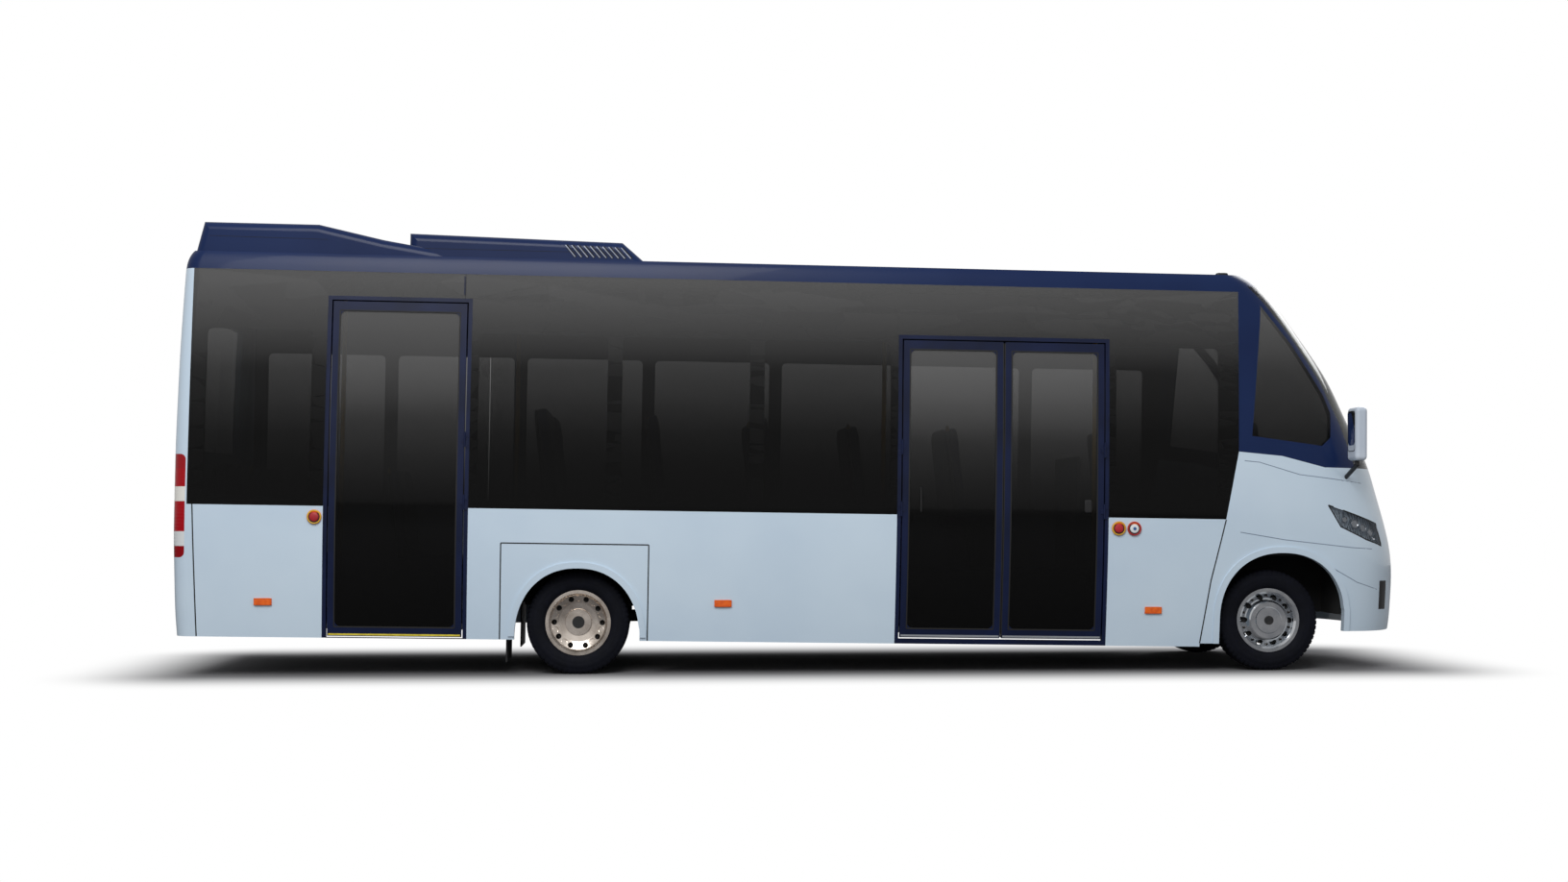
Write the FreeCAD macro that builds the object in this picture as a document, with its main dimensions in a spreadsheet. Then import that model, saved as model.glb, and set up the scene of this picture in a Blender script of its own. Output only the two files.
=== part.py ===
import FreeCAD, Part
import Sketcher
import math
import os
import re
from types import SimpleNamespace
from FreeCAD import Placement, Rotation, Vector

# A 9.1 m minibus: a panelled body on a ladder frame, twin rear wheels, a swing-out rear door and a pair
# of swing-out front doors on its right side. +X is forward, +Y left and +Z up. Everything is drawn in the
# body's own level frame and then stands nose-down by ride_rake, as the real one parks.

# Driving dimensions, in millimetres and degrees; stations run forward from the middle of the body
SIZES = {
    # Body envelope
    "body_length": 9140,
    "body_half_width": 1150,
    "hull_top": 3060,
    "roof_crown_drop": 22,
    "roof_crown_radius": 10000,
    "tail_corner_radius": 110,
    "wall_thickness": 45,
    "roof_thickness": 55,
    "glass_thickness": 8,
    "trim_height": 12,
    "overrun": 60,
    "ride_rake": 0.85,
    # Body lines
    "skirt_height": 226,
    "belt_height": 1166,
    "roof_line_height": 2852,
    "mask_foot_height": 352,
    "mask_rear_height": 250,
    "mask_rear_station": 2871,
    "mask_belt_station": 3045,
    "mask_top_station": 3137,
    "mask_top_height": 1666,
    "mask_dip_station": 3786,
    "mask_dip_height": 1560,
    "screen_foot_station": 4050,
    "screen_head_station": 3215,
    "screen_head_height": 2900,
    "dome_station": 3072,
    "rear_seam_station": -4424,
    "rear_seam_lean": 37,
    "glass_tail_station": -4462,
    "bumper_height": 560,
    # Side windows behind the flush glass
    "window_foot": 1225,
    "window_head": 2425,
    "window_corner_radius": 40,
    "window_post": 105,
    "quarter_post": 63,
    "left_windows": 7,
    "pane_joint_station": -2535,
    "pane_joint": 6,
    # Doors
    "rear_door_station": -3470,
    "rear_door_width": 949,
    "rear_door_foot": 240,
    "rear_door_head": 2636,
    "front_door_station": 646,
    "front_door_width": 1484,
    "front_door_foot": 272,
    "front_door_head": 2440,
    "door_gap": 10,
    "door_meeting_gap": 16,
    "door_thickness": 38,
    "door_frame_width": 52,
    "door_rail_width": 70,
    "door_portal_width": 28,
    "hinge_pin_radius": 4,
    "hinge_fit": 0.05,
    "hinge_knuckle_radius": 7,
    "hinge_knuckle_height": 36,
    "hinge_play": 0.5,
    "hinge_strap_length": 26,
    "hinge_low_height": 1190,
    "hinge_high_height": 1640,
    "hinge_stand_off": 5,
    # Wheels and tyres
    "rear_axle_station": -1690,
    "wheelbase": 5100,
    "tyre_radius": 372,
    "tyre_width": 222,
    "rim_radius": 236,
    "rim_seat_radius": 203,
    "wheel_bore_radius": 33,
    "wheel_fit": 0.05,
    "vent_radius": 20,
    "vent_pitch_radius": 174,
    "vent_count": 10,
    "front_wheel_plane": 905,
    "rear_wheel_plane": 900,
    "twin_spacing": 252,
    "kingpin_plane": 870,
    # Wheel arches
    "rear_arch_station": -1694,
    "rear_arch_half_length": 450,
    "rear_arch_top": 745,
    "front_arch_station": 3482,
    "front_arch_half_length": 469,
    "front_arch_foot": 430,
    "front_arch_top": 925,
    "arch_flare_width": 44,
    "arch_panel_rear": -2247,
    "arch_panel_front": -1188,
    "arch_panel_top": 920,
    # Wheel housings
    "housing_thickness": 6,
    "housing_foot": 470,
    "rear_housing_half_length": 498,
    "rear_housing_top": 768,
    "rear_housing_plane": 512,
    "front_housing_half_length": 476,
    "front_housing_top": 905,
    "front_housing_plane": 590,
    # Ladder frame
    "rail_plane": 430,
    "rail_width": 70,
    "rail_web": 7,
    "rail_foot": 520,
    "rail_height": 180,
    "rail_tail_station": -2290,
    "rail_nose_station": 4060,
    "cross_member_height": 120,
    "rear_cross_station": -58,
    "mid_cross_station": 1013,
    "fore_cross_station": 1982,
    "cross_member_width": 60,
    # Front axle, steering and springs
    "beam_height": 66,
    "beam_width": 62,
    "beam_drop": 92,
    "beam_web": 16,
    "kingpin_radius": 15,
    "kingpin_eye_radius": 30,
    "kingpin_eye_height": 84,
    "kingpin_play": 0.5,
    "kingpin_fit": 0.05,
    "knuckle_lug_height": 26,
    "knuckle_plate": 22,
    "hub_radius": 62,
    "spring_width": 62,
    "spring_leaf": 13,
    "spring_leaves": 3,
    "spring_half_length": 560,
    "spring_seat_plane": 430,
    # Rear axle and drive
    "axle_tube_radius": 58,
    "axle_end_radius": 45,
    "axle_bowl_radius": 172,
    "axle_bowl_width": 150,
    "propshaft_radius": 46,
    "propshaft_drop": 40,
    "rear_hub_radius": 94,
    "rear_hub_length": 150,
    "exhaust_radius": 34,
    "muffler_radius": 105,
    "muffler_length": 900,
    "tank_length": 980,
    "tank_width": 420,
    "tank_height": 330,
    "tank_corner": 45,
    "engine_length": 860,
    "engine_width": 620,
    "engine_height": 560,
    "engine_station": 3160,
    "engine_mount": 90,
    "engine_cover_gap": 25,
    "engine_cover_height": 1020,
    # Floors
    "floor_height": 740,
    "floor_thickness": 40,
    "low_floor_height": 330,
    "low_floor_nose_station": -2330,
    "cab_floor_nose_station": 4020,
    "step_depth": 560,
    "step_low_height": 345,
    "step_mid_height": 545,
    "step_tread": 270,
    # Rear end and lamps
    "rear_window_half_width": 800,
    "rear_window_foot": 1560,
    "rear_window_head": 2560,
    "lamp_depth": 32,
    "tail_lamp_foot": 786,
    "tail_lamp_head": 1521,
    "tail_lamp_station": -4474,
    "tail_lamp_plane": 985,
    "marker_length": 125,
    "marker_height": 50,
    "marker_depth": 60,
    "rear_marker_station": -3921,
    "rear_marker_height": 479,
    "mid_marker_station": -646,
    "mid_marker_height": 504,
    "front_marker_station": 2514,
    "front_marker_height": 491,
    "rear_button_station": -3567,
    "front_button_station": 2243,
    "ramp_button_station": 2358,
    "button_radius": 52,
    "button_height": 1088,
    # Front lamps and grille
    "headlamp_rear_station": 3812,
    "headlamp_nose_station": 4285,
    "headlamp_foot": 984,
    "headlamp_head": 1282,
    "headlamp_plane": 640,
    "fog_lamp_rear_station": 4262,
    "fog_lamp_nose_station": 4345,
    "fog_lamp_foot": 511,
    "fog_lamp_head": 725,
    "grille_half_width": 560,
    "grille_foot": 640,
    "grille_head": 800,
    "grille_bars": 4,
    # Roof units
    "fairing_half_width": 1010,
    "fairing_tail_station": -4500,
    "fairing_height": 3205,
    "fairing_gap": 20,
    "cooler_half_width": 700,
    "cooler_tail_station": -2997,
    "cooler_nose_station": -1219,
    "cooler_height": 3200,
    "cooler_edge_radius": 60,
    # Mirrors
    "mirror_height": 391,
    "mirror_foot": 1610,
    "mirror_width": 190,
    "mirror_depth": 90,
    "mirror_station": 3986,
    "mirror_plane": 1262,
    "mirror_arm_radius": 16,
    "wheel_lean": 28,
    # Seats and cabin
    "seat_width": 870,
    "seat_depth": 430,
    "seat_cushion": 110,
    "seat_back_height": 700,
    "seat_back": 90,
    "seat_height": 440,
    "left_seat_rows": 5,
    "right_seat_rows": 3,
    "seat_pitch": 800,
    "seat_leg": 50,
    "aisle_half_width": 190,
    "rail_post_radius": 17,
    "wheel_rim_radius": 215,
    "wheel_rim_section": 15,
    "dash_height": 1240,
    "dash_station": 3640,
    "dash_depth": 420,
    "partition_height": 1650,
    "driver_plane": 621,
    "partition_outer_plane": 1035,
    "partition_station": 2230,
    "sheet_thickness": 25,
    # Small outside pieces
    "flap_thickness": 10,
    "flap_width": 480,
    "flap_foot": 62,
    "flap_head": 530,
}

doc = FreeCAD.newDocument("minibus")
sheet = doc.addObject("Spreadsheet::Sheet", "Sizes")
for row, (alias, value) in enumerate(SIZES.items(), start=1):
    sheet.set(f"A{row}", alias)
    sheet.set(f"B{row}", str(value))
    sheet.setAlias(f"B{row}", alias)
doc.recompute()
S = SimpleNamespace(**{alias: float(sheet.get(alias)) for alias in SIZES})
NODES = []

RAKE = math.radians(S.ride_rake)
HALF_LENGTH = S.body_length / 2
FRONT_AXLE = S.rear_axle_station + S.wheelbase
WIDE = S.body_half_width + S.overrun
TALL = S.hull_top + S.overrun
LOW = S.skirt_height - S.overrun


def wheel_height(station):
    """Height of a wheel's centre in the level body frame, so that all tyres meet the raked ground."""
    return (S.tyre_radius + station * math.sin(RAKE)) / math.cos(RAKE)


def on_sheet(text):
    """Turn the size names in an expression into references to the sheet."""
    return re.sub(r"[a-z]\w+", lambda name: "Sizes." + name.group(), text)


def bind(item, **expressions):
    """Tie properties of an object to expressions on the sheet; a double underscore stands for a dot."""
    for name, text in expressions.items():
        item.setExpression(name.replace("__", "."), on_sheet(text))
    return item


def node(item, label):
    """Keep an object as a sub-part under its own label."""
    item.Label = label
    NODES.append(item)
    return item


def feature(label, shape):
    """Keep a computed shape as a sub-part."""
    item = doc.addObject("Part::Feature", label)
    item.Shape = shape
    return node(item, label)


def flat(points, fillet=0.0):
    """Face in the body's side view through (station, height) points, its corners rounded by fillet."""
    corners = [Vector(along, 0, up) for along, up in points]
    if not fillet:
        return Part.Face(Part.makePolygon(corners + corners[:1]))
    edges = []
    starts = []
    ends = []
    for index, corner in enumerate(corners):
        back = (corners[index - 1] - corner).normalize()
        ahead = (corners[(index + 1) % len(corners)] - corner).normalize()
        half = back.getAngle(ahead) / 2
        inset = fillet / math.tan(half)
        middle = (back + ahead).normalize() * (fillet / math.sin(half) - fillet)
        starts.append(corner + back * inset)
        ends.append(corner + ahead * inset)
        edges.append(Part.Arc(starts[-1], corner + middle, ends[-1]).toShape())
    sides = [Part.makeLine(ends[i], starts[(i + 1) % len(corners)]) for i in range(len(corners))]
    outline = [edge for pair in zip(edges, sides) for edge in pair]
    return Part.Face(Part.Wire(outline))


def across(face, start, end):
    """Extrude a side-view face across the body, from one lateral plane to another."""
    moved = face.translated(Vector(0, start, 0))
    return moved.extrude(Vector(0, end - start, 0))


def right(points, fillet=0.0):
    """Side-view outline cut through the right half of the body."""
    return across(flat(points, fillet), -WIDE, 0)


def both(points, fillet=0.0):
    """Side-view outline cut through the whole width."""
    return across(flat(points, fillet), -WIDE, WIDE)


def mirrored(shape):
    """The same shape on the other side of the body."""
    return shape.mirror(Vector(0, 0, 0), Vector(0, 1, 0))


def box(rear, front, right_side, left_side, foot, head):
    """Solid box between stations, lateral planes and heights."""
    return Part.makeBox(front - rear, left_side - right_side, head - foot, Vector(rear, right_side, foot))


def rectangle(rear, front, foot, head):
    """Outline points of a side-view rectangle."""
    return [(rear, foot), (front, foot), (front, head), (rear, head)]


def rod(start, end, radius):
    """Round bar from one point to another."""
    run = end - start
    return Part.makeCylinder(radius, run.Length, start, run)


# The hull at its levels, from under the skirt to above the roof, chosen by hand from the side view:
# height as a share of hull_top, nose and tail of half the length, the nose's plan curve of half_width
# and the half width of half_width
HULL_SHARES = [
    (0.060, 0.981, 0.994, 0.600, 0.930),
    (0.108, 0.994, 0.996, 0.620, 0.944),
    (0.183, 0.999, 0.998, 0.635, 0.964),
    (0.245, 1.000, 0.999, 0.635, 0.978),
    (0.305, 0.997, 1.000, 0.635, 0.989),
    (0.376, 0.986, 1.000, 0.630, 0.997),
    (0.460, 0.969, 1.000, 0.622, 1.000),
    (0.515, 0.957, 1.000, 0.605, 0.999),
    (0.627, 0.919, 0.999, 0.556, 0.994),
    (0.722, 0.886, 0.998, 0.504, 0.986),
    (0.826, 0.836, 0.996, 0.435, 0.974),
    (0.911, 0.790, 0.994, 0.383, 0.962),
    (0.952, 0.762, 0.991, 0.356, 0.951),
    (0.970, 0.745, 0.986, 0.340, 0.936),
    (0.984, 0.722, 0.977, 0.320, 0.910),
    (1.000, 0.690, 0.962, 0.290, 0.868),
]
PLAN_POWER_SHARE = 2.4
ARCH_POWER_SHARE = 2.2
CURVE_STEPS = 10
CURVE_START_SHARE = 4.3


def superellipse(angle, power_share):
    """Point on the unit superellipse at a parameter angle, measured from its forward end."""
    sine = math.copysign(abs(math.sin(angle)) ** (2 / power_share), math.sin(angle))
    return max(math.cos(angle), 0.0) ** (2 / power_share), sine


def hull_section(level, offset):
    """Closed plan outline of the hull at one level, moved inwards by offset: sides, nose and tail."""
    height_share, nose_share, tail_share, curve_share, width_share = level
    height = height_share * S.hull_top
    half = width_share * S.body_half_width - offset
    nose = nose_share * HALF_LENGTH - offset
    reach = curve_share * S.body_half_width
    tail = -tail_share * HALF_LENGTH + offset
    corner = S.tail_corner_radius - min(offset, S.tail_corner_radius / 2)
    curve = []
    for step in range(CURVE_STEPS + 1):
        along, sideways = superellipse(math.pi * (step / CURVE_STEPS - 1 / 2), PLAN_POWER_SHARE)
        curve.append(Vector(nose - reach + reach * along, half * sideways, height))
    spline = Part.BSplineCurve()
    spline.interpolate(
        Points=curve, Parameters=[step / CURVE_STEPS for step in range(CURVE_STEPS + 1)],
        InitialTangent=Vector(reach * CURVE_START_SHARE, 0, 0),
        FinalTangent=Vector(-reach * CURVE_START_SHARE, 0, 0), Scale=False)
    turn = corner * (1 - math.sqrt(1 / 2))
    left_arc = Part.Arc(
        Vector(tail + corner, half, height),
        Vector(tail + turn, half - turn, height),
        Vector(tail, half - corner, height),
    )
    right_arc = Part.Arc(
        Vector(tail, corner - half, height),
        Vector(tail + turn, turn - half, height),
        Vector(tail + corner, -half, height),
    )
    return Part.Wire([
        Part.makeLine(right_arc.EndPoint, curve[0]),
        spline.toShape(),
        Part.makeLine(curve[-1], left_arc.StartPoint),
        left_arc.toShape(),
        Part.makeLine(left_arc.EndPoint, right_arc.StartPoint),
        right_arc.toShape(),
    ])


def hull(offset, roof_offset):
    """The body's closed hull moved inwards by offset, with its crowned roof lowered by roof_offset."""
    solid = Part.makeLoft([hull_section(level, offset) for level in HULL_SHARES], True, False)
    radius = S.roof_crown_radius
    axis = S.hull_top - S.roof_crown_drop - roof_offset - radius
    crown = Part.makeCylinder(radius, S.body_length * 2, Vector(-S.body_length, 0, axis), Vector(1, 0, 0))
    return solid.common(crown)


OUTER = hull(0, 0)
GLASS_BACK = hull(S.glass_thickness, S.glass_thickness)
INNER = hull(S.wall_thickness, S.roof_thickness)
RAISED = hull(-S.trim_height, 0)
WALL = OUTER.cut(INNER)
PANE = OUTER.cut(GLASS_BACK)
FRAME = GLASS_BACK.cut(INNER)

# Lines of the body in its side view
REAR_SEAM = [
    (S.rear_seam_station + S.rear_seam_lean, LOW),
    (S.rear_seam_station, S.belt_height),
]
MASK_EDGE = [
    (S.mask_belt_station, S.belt_height),
    (S.mask_top_station, S.mask_top_height),
]
# Points of the windscreen's side edge between its foot and head, as shares of the run between them
SCREEN_EDGE_SHARES = [(0.13, 0.25), (0.31, 0.47), (0.58, 0.715), (0.85, 0.91)]
SCREEN_EDGE = [(S.screen_foot_station, S.mask_dip_height)] + [
    (
        S.screen_foot_station + along_share * (S.screen_head_station - S.screen_foot_station),
        S.mask_dip_height + up_share * (S.screen_head_height - S.mask_dip_height),
    )
    for along_share, up_share in SCREEN_EDGE_SHARES
] + [(S.screen_head_station, S.screen_head_height)]


def arch(station, half_length, foot, top, start, end):
    """Wheel arch opening across the body: straight below foot, and a superellipse above it."""
    points = []
    for step in range(CURVE_STEPS * 2 + 1):
        up, along = superellipse(math.pi * (step / (CURVE_STEPS * 2) - 1 / 2), ARCH_POWER_SHARE)
        points.append(Vector(station + half_length * along, 0, foot + (top - foot) * up))
    curve = Part.BSplineCurve()
    curve.interpolate(points, InitialTangent=Vector(0, 0, top - foot), FinalTangent=Vector(0, 0, foot - top))
    low_rear = Vector(station - half_length, 0, LOW - S.overrun)
    low_front = Vector(station + half_length, 0, LOW - S.overrun)
    outline = Part.Wire([
        curve.toShape(),
        Part.makeLine(points[-1], low_front),
        Part.makeLine(low_front, low_rear),
        Part.makeLine(low_rear, points[0]),
    ])
    return across(Part.Face(outline), start, end)


def rear_arch(grow, start, end):
    """Rear wheel arch, grown by a margin."""
    top = S.rear_arch_top + grow
    return arch(S.rear_arch_station, S.rear_arch_half_length + grow, S.skirt_height, top, start, end)


def front_arch(grow, start, end):
    """Front wheel arch, grown by a margin."""
    top = S.front_arch_top + grow
    return arch(S.front_arch_station, S.front_arch_half_length + grow, S.front_arch_foot, top, start, end)


REAR_DOOR = (S.rear_door_station, S.rear_door_station + S.rear_door_width)
FRONT_DOOR = (S.front_door_station, S.front_door_station + S.front_door_width)


def door_hole(door, foot, head, margin):
    """Door opening in the right wall, grown by a margin on its sides and head."""
    return right(rectangle(door[0] - margin, door[1] + margin, foot, head + margin))


PORTAL_MARGIN = S.door_gap + S.door_portal_width
PORTALS = Part.Compound([
    door_hole(REAR_DOOR, LOW, S.rear_door_head, PORTAL_MARGIN),
    door_hole(FRONT_DOOR, LOW, S.front_door_head, PORTAL_MARGIN),
])


# Lower side walls, from the skirt to the belt, with the arch panels let into them
def side_wall():
    """Right lower wall without its door openings."""
    outline = REAR_SEAM + MASK_EDGE[:1] + [
        (S.mask_rear_station, S.mask_rear_height), (S.mask_rear_station, LOW)]
    wall = WALL.common(right(outline))
    skirt = box(-HALF_LENGTH, HALF_LENGTH, -WIDE, 0, LOW - S.overrun, S.skirt_height)
    return wall.cut(skirt)


ARCH_OUTLINE = rectangle(S.arch_panel_rear, S.arch_panel_front, LOW, S.arch_panel_top)
PLAIN_WALL = side_wall()
ARCH_PANEL = PLAIN_WALL.common(right(ARCH_OUTLINE)).cut(rear_arch(0, -WIDE, 0))
LOWER_WALL = PLAIN_WALL.cut(right(ARCH_OUTLINE))
feature("side_walls", Part.Compound([LOWER_WALL.cut(PORTALS), mirrored(LOWER_WALL)]))
feature("arch_panels", Part.Compound([ARCH_PANEL, mirrored(ARCH_PANEL)]))

# Upper side structure and the flush glass that covers it
BAND = [
    (S.glass_tail_station, S.belt_height),
    MASK_EDGE[0],
    MASK_EDGE[1],
    (S.mask_top_station, S.roof_line_height),
    (S.glass_tail_station, S.roof_line_height),
]
BAND_PRISM = right(BAND)
FRAME_BAND = FRAME.common(BAND_PRISM)
GLASS_BAND = PANE.common(BAND_PRISM)


def windows(rear, front, count):
    """Row of equal window openings between two stations, with posts between them."""
    width = (front - rear - (count - 1) * S.window_post) / count
    openings = []
    for number in range(count):
        start = rear + number * (width + S.window_post)
        outline = rectangle(start, start + width, S.window_foot, S.window_head)
        openings.append(right(outline, S.window_corner_radius))
    return openings


POST = S.window_post
WINDOW_NOSE = S.mask_belt_station - POST / 2
RIGHT_WINDOWS = (
    windows(S.glass_tail_station + POST, REAR_DOOR[0] - PORTAL_MARGIN - POST, 1)
    + windows(REAR_DOOR[1] + PORTAL_MARGIN + POST / 2, FRONT_DOOR[0] - PORTAL_MARGIN - POST / 2, 3)
    + windows(FRONT_DOOR[1] + PORTAL_MARGIN + POST / 2, WINDOW_NOSE, 1)
)
LEFT_WINDOWS = windows(S.glass_tail_station + POST, WINDOW_NOSE, int(S.left_windows))
PANE_JOINT = right(rectangle(
    S.pane_joint_station - S.pane_joint / 2, S.pane_joint_station + S.pane_joint / 2, LOW, TALL))
feature("window_frames", Part.Compound([
    FRAME_BAND.cut(PORTALS).cut(Part.Compound(RIGHT_WINDOWS)),
    mirrored(FRAME_BAND.cut(Part.Compound(LEFT_WINDOWS))),
]))
SIDE_GLASS = [GLASS_BAND.cut(PORTALS).cut(PANE_JOINT), mirrored(GLASS_BAND.cut(PANE_JOINT))]

# Roof, from the tail to the dome over the cab
feature("roof", WALL.common(box(
    -HALF_LENGTH - S.overrun, S.dome_station, -WIDE, WIDE, S.roof_line_height, TALL)))

# Front mask: the white moulding round the nose, below the windscreen
MASK_LINE = [
    MASK_EDGE[1],
    (
        (S.mask_top_station + S.mask_dip_station) / 2,
        S.mask_top_height - (S.mask_top_height - S.mask_dip_height) / 4,
    ),
    (S.mask_dip_station, S.mask_dip_height),
    (S.screen_foot_station, S.mask_dip_height),
]
NOSE = HALF_LENGTH + S.overrun
MASK_OUTLINE = [
    (S.mask_rear_station, S.mask_rear_height),
    MASK_EDGE[0],
    *MASK_LINE,
    (NOSE, S.mask_dip_height),
    (NOSE, S.mask_foot_height),
    (S.front_arch_station, S.mask_foot_height),
    (S.front_arch_station, S.mask_rear_height),
]

# Cab frame: the pillars beside the windscreen and the dome over it, with the quarter windows
QUARTER_SHARES = [
    (0.04, 0.06), (0.62, 0.0), (0.70, 0.06), (0.72, 0.23), (0.66, 0.35), (0.54, 0.50), (0.38, 0.70),
    (0.12, 0.96),
]
QUARTER_RISE = S.roof_line_height - S.mask_top_height - S.window_post
QUARTER = [
    (
        S.mask_top_station + S.quarter_post + along_share * (S.screen_foot_station - S.mask_top_station),
        S.mask_top_height + S.window_post / 2 + up_share * QUARTER_RISE,
    )
    for along_share, up_share in QUARTER_SHARES
]
CAB_OUTLINE = [
    (S.dome_station, TALL),
    (S.dome_station, S.roof_line_height),
    (S.mask_top_station, S.roof_line_height),
    *MASK_LINE,
    *SCREEN_EDGE[1:],
    (NOSE, S.screen_head_height),
    (NOSE, TALL),
]
QUARTER_PRISM = right(QUARTER)
QUARTER_GLASS = PANE.common(QUARTER_PRISM)
CAB = WALL.common(both(CAB_OUTLINE)).cut(QUARTER_PRISM).cut(mirrored(QUARTER_PRISM))
feature("cab_frame", CAB)
feature("side_glass", Part.Compound(SIDE_GLASS + [QUARTER_GLASS, mirrored(QUARTER_GLASS)]))
SCREEN_OUTLINE = SCREEN_EDGE + [(NOSE, S.screen_head_height), (NOSE, S.mask_dip_height)]
SCREEN_HALF = PANE.common(right(SCREEN_OUTLINE))
feature("windscreen", SCREEN_HALF.fuse(mirrored(SCREEN_HALF)).removeSplitter())

# Rear wall with its window, between the side seams, and the bumper below it
TAIL = -HALF_LENGTH - S.overrun
REAR_OUTLINE = [
    (TAIL, LOW),
    *REAR_SEAM,
    (S.glass_tail_station, S.belt_height),
    (S.glass_tail_station, S.roof_line_height),
    (TAIL, S.roof_line_height),
]
REAR_ROOM = S.rear_window_half_width
REAR_HOLE = box(TAIL, S.glass_tail_station - 1, -REAR_ROOM, REAR_ROOM, S.rear_window_foot, S.rear_window_head)
LAMP_OUTLINE = rectangle(TAIL, S.tail_lamp_station, S.tail_lamp_foot, S.tail_lamp_head)
LAMP_SIDE = right(LAMP_OUTLINE, S.window_corner_radius).common(
    box(TAIL, 0, -WIDE, -S.tail_lamp_plane, LOW, TALL))
LAMP_BACK = hull(S.lamp_depth, S.lamp_depth)
TAIL_LAMP = OUTER.common(LAMP_SIDE).cut(LAMP_BACK)
REAR_PANEL = WALL.common(both(REAR_OUTLINE)).cut(REAR_HOLE)
REAR_PANEL = REAR_PANEL.cut(Part.Compound([TAIL_LAMP, mirrored(TAIL_LAMP)]))
BUMPER_CUT = box(TAIL, 0, -WIDE, WIDE, LOW - S.overrun, S.bumper_height)
SKIRT_TRIM = box(TAIL, 0, -WIDE, WIDE, LOW - S.overrun, S.skirt_height)
feature("rear_wall", REAR_PANEL.cut(BUMPER_CUT))
feature("rear_bumper", REAR_PANEL.common(BUMPER_CUT).cut(SKIRT_TRIM))
feature("rear_glass", PANE.common(REAR_HOLE))
feature("tail_lamps", Part.Compound([TAIL_LAMP, mirrored(TAIL_LAMP)]))


# Doors follow the wall's own curve, as a strip of its section
def wall_strip(outer_offset, inner_offset, rear, front, foot, head):
    """Part of the right wall between two depths, two stations and two heights."""
    def side_curve(offset):
        curve = Part.BSplineCurve()
        curve.interpolate([
            Vector(rear, offset - width_share * S.body_half_width, height_share * S.hull_top)
            for height_share, _nose, _tail, _curve, width_share in HULL_SHARES
        ])
        return curve.toShape()
    outer = side_curve(outer_offset)
    inner = side_curve(inner_offset)
    ends = [(outer.Vertexes[i].Point, inner.Vertexes[i].Point) for i in (0, -1)]
    section = Part.Wire([outer, Part.makeLine(*ends[1]), inner, Part.makeLine(*ends[0])])
    strip = Part.Face(section).extrude(Vector(front - rear, 0, 0))
    return strip.common(box(rear, front, -WIDE, 0, foot, head))


HINGE_PLANE = -S.body_half_width - S.hinge_stand_off
HINGE_HEIGHTS = [S.hinge_low_height, S.hinge_high_height]
KNUCKLE_STEP = S.hinge_knuckle_height + S.hinge_play


def knuckle(station, foot, reach, bore):
    """Hinge knuckle on the door's axis, with a strap to its panel, bored where the pin runs in it."""
    barrel = Part.makeCylinder(
        S.hinge_knuckle_radius, S.hinge_knuckle_height, Vector(station, HINGE_PLANE, foot))
    start, end = sorted([station, station + reach])
    strap = box(start, end, HINGE_PLANE, HINGE_PLANE + S.hinge_stand_off * 2,
                foot, foot + S.hinge_knuckle_height)
    solid = barrel.fuse(strap)
    if bore:
        solid = solid.cut(Part.makeCylinder(bore, S.hinge_knuckle_height, Vector(station, HINGE_PLANE, foot)))
    return solid


def door_leaf(label, rear, front, foot, head, hinge, reach):
    """Door leaf: a frame in the wall's curve with one tall pane, and knuckles on its hinge side."""
    leaf = wall_strip(0, S.door_thickness, rear, front, foot, head)
    inset = S.door_frame_width
    hole = right(rectangle(rear + inset, front - inset, foot + S.door_rail_width, head - S.door_rail_width),
                 S.window_corner_radius)
    pane = wall_strip(S.glass_thickness / 2, S.glass_thickness * 3 / 2, rear, front, foot, head).common(hole)
    frame = leaf.cut(hole)
    for height in HINGE_HEIGHTS:
        frame = frame.fuse(knuckle(hinge, height, -reach, S.hinge_pin_radius + S.hinge_fit))
    feature(label, frame)
    feature(label + "_glass", pane)


def door_portal(door, foot, head, hinges):
    """Surround of a door opening, let into the wall, with a sill and the fixed halves of the hinges."""
    outer = door_hole(door, S.skirt_height, head, PORTAL_MARGIN)
    opening = door_hole(door, foot - S.door_gap, head, S.door_gap)
    portal = WALL.common(outer.cut(opening))
    for station, reach in hinges:
        for height in HINGE_HEIGHTS:
            low = height - KNUCKLE_STEP
            high = height + KNUCKLE_STEP
            pin = Part.makeCylinder(S.hinge_pin_radius, high - low, Vector(station, HINGE_PLANE, low))
            portal = portal.fuse([pin, knuckle(station, low, reach, 0), knuckle(station, high, reach, 0)])
    return portal


HALF_GAP = S.door_gap / 2
REACH = S.hinge_strap_length
REAR_HINGE = REAR_DOOR[1] + HALF_GAP
AFT_HINGE = FRONT_DOOR[0] - HALF_GAP
FORE_HINGE = FRONT_DOOR[1] + HALF_GAP
MEETING = (FRONT_DOOR[0] + FRONT_DOOR[1]) / 2
MEETING_HALF = S.door_meeting_gap / 2
REAR_LEVELS = (S.rear_door_foot, S.rear_door_head)
FRONT_LEVELS = (S.front_door_foot, S.front_door_head)
door_leaf("rear_door", *REAR_DOOR, *REAR_LEVELS, REAR_HINGE, REACH)
door_leaf("front_door_aft", FRONT_DOOR[0], MEETING - MEETING_HALF, *FRONT_LEVELS, AFT_HINGE, -REACH)
door_leaf("front_door_fore", MEETING + MEETING_HALF, FRONT_DOOR[1], *FRONT_LEVELS, FORE_HINGE, REACH)
feature("door_portals", Part.Compound([
    door_portal(REAR_DOOR, *REAR_LEVELS, [(REAR_HINGE, REACH)]),
    door_portal(FRONT_DOOR, *FRONT_LEVELS, [(AFT_HINGE, -REACH), (FORE_HINGE, REACH)]),
]))

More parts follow.
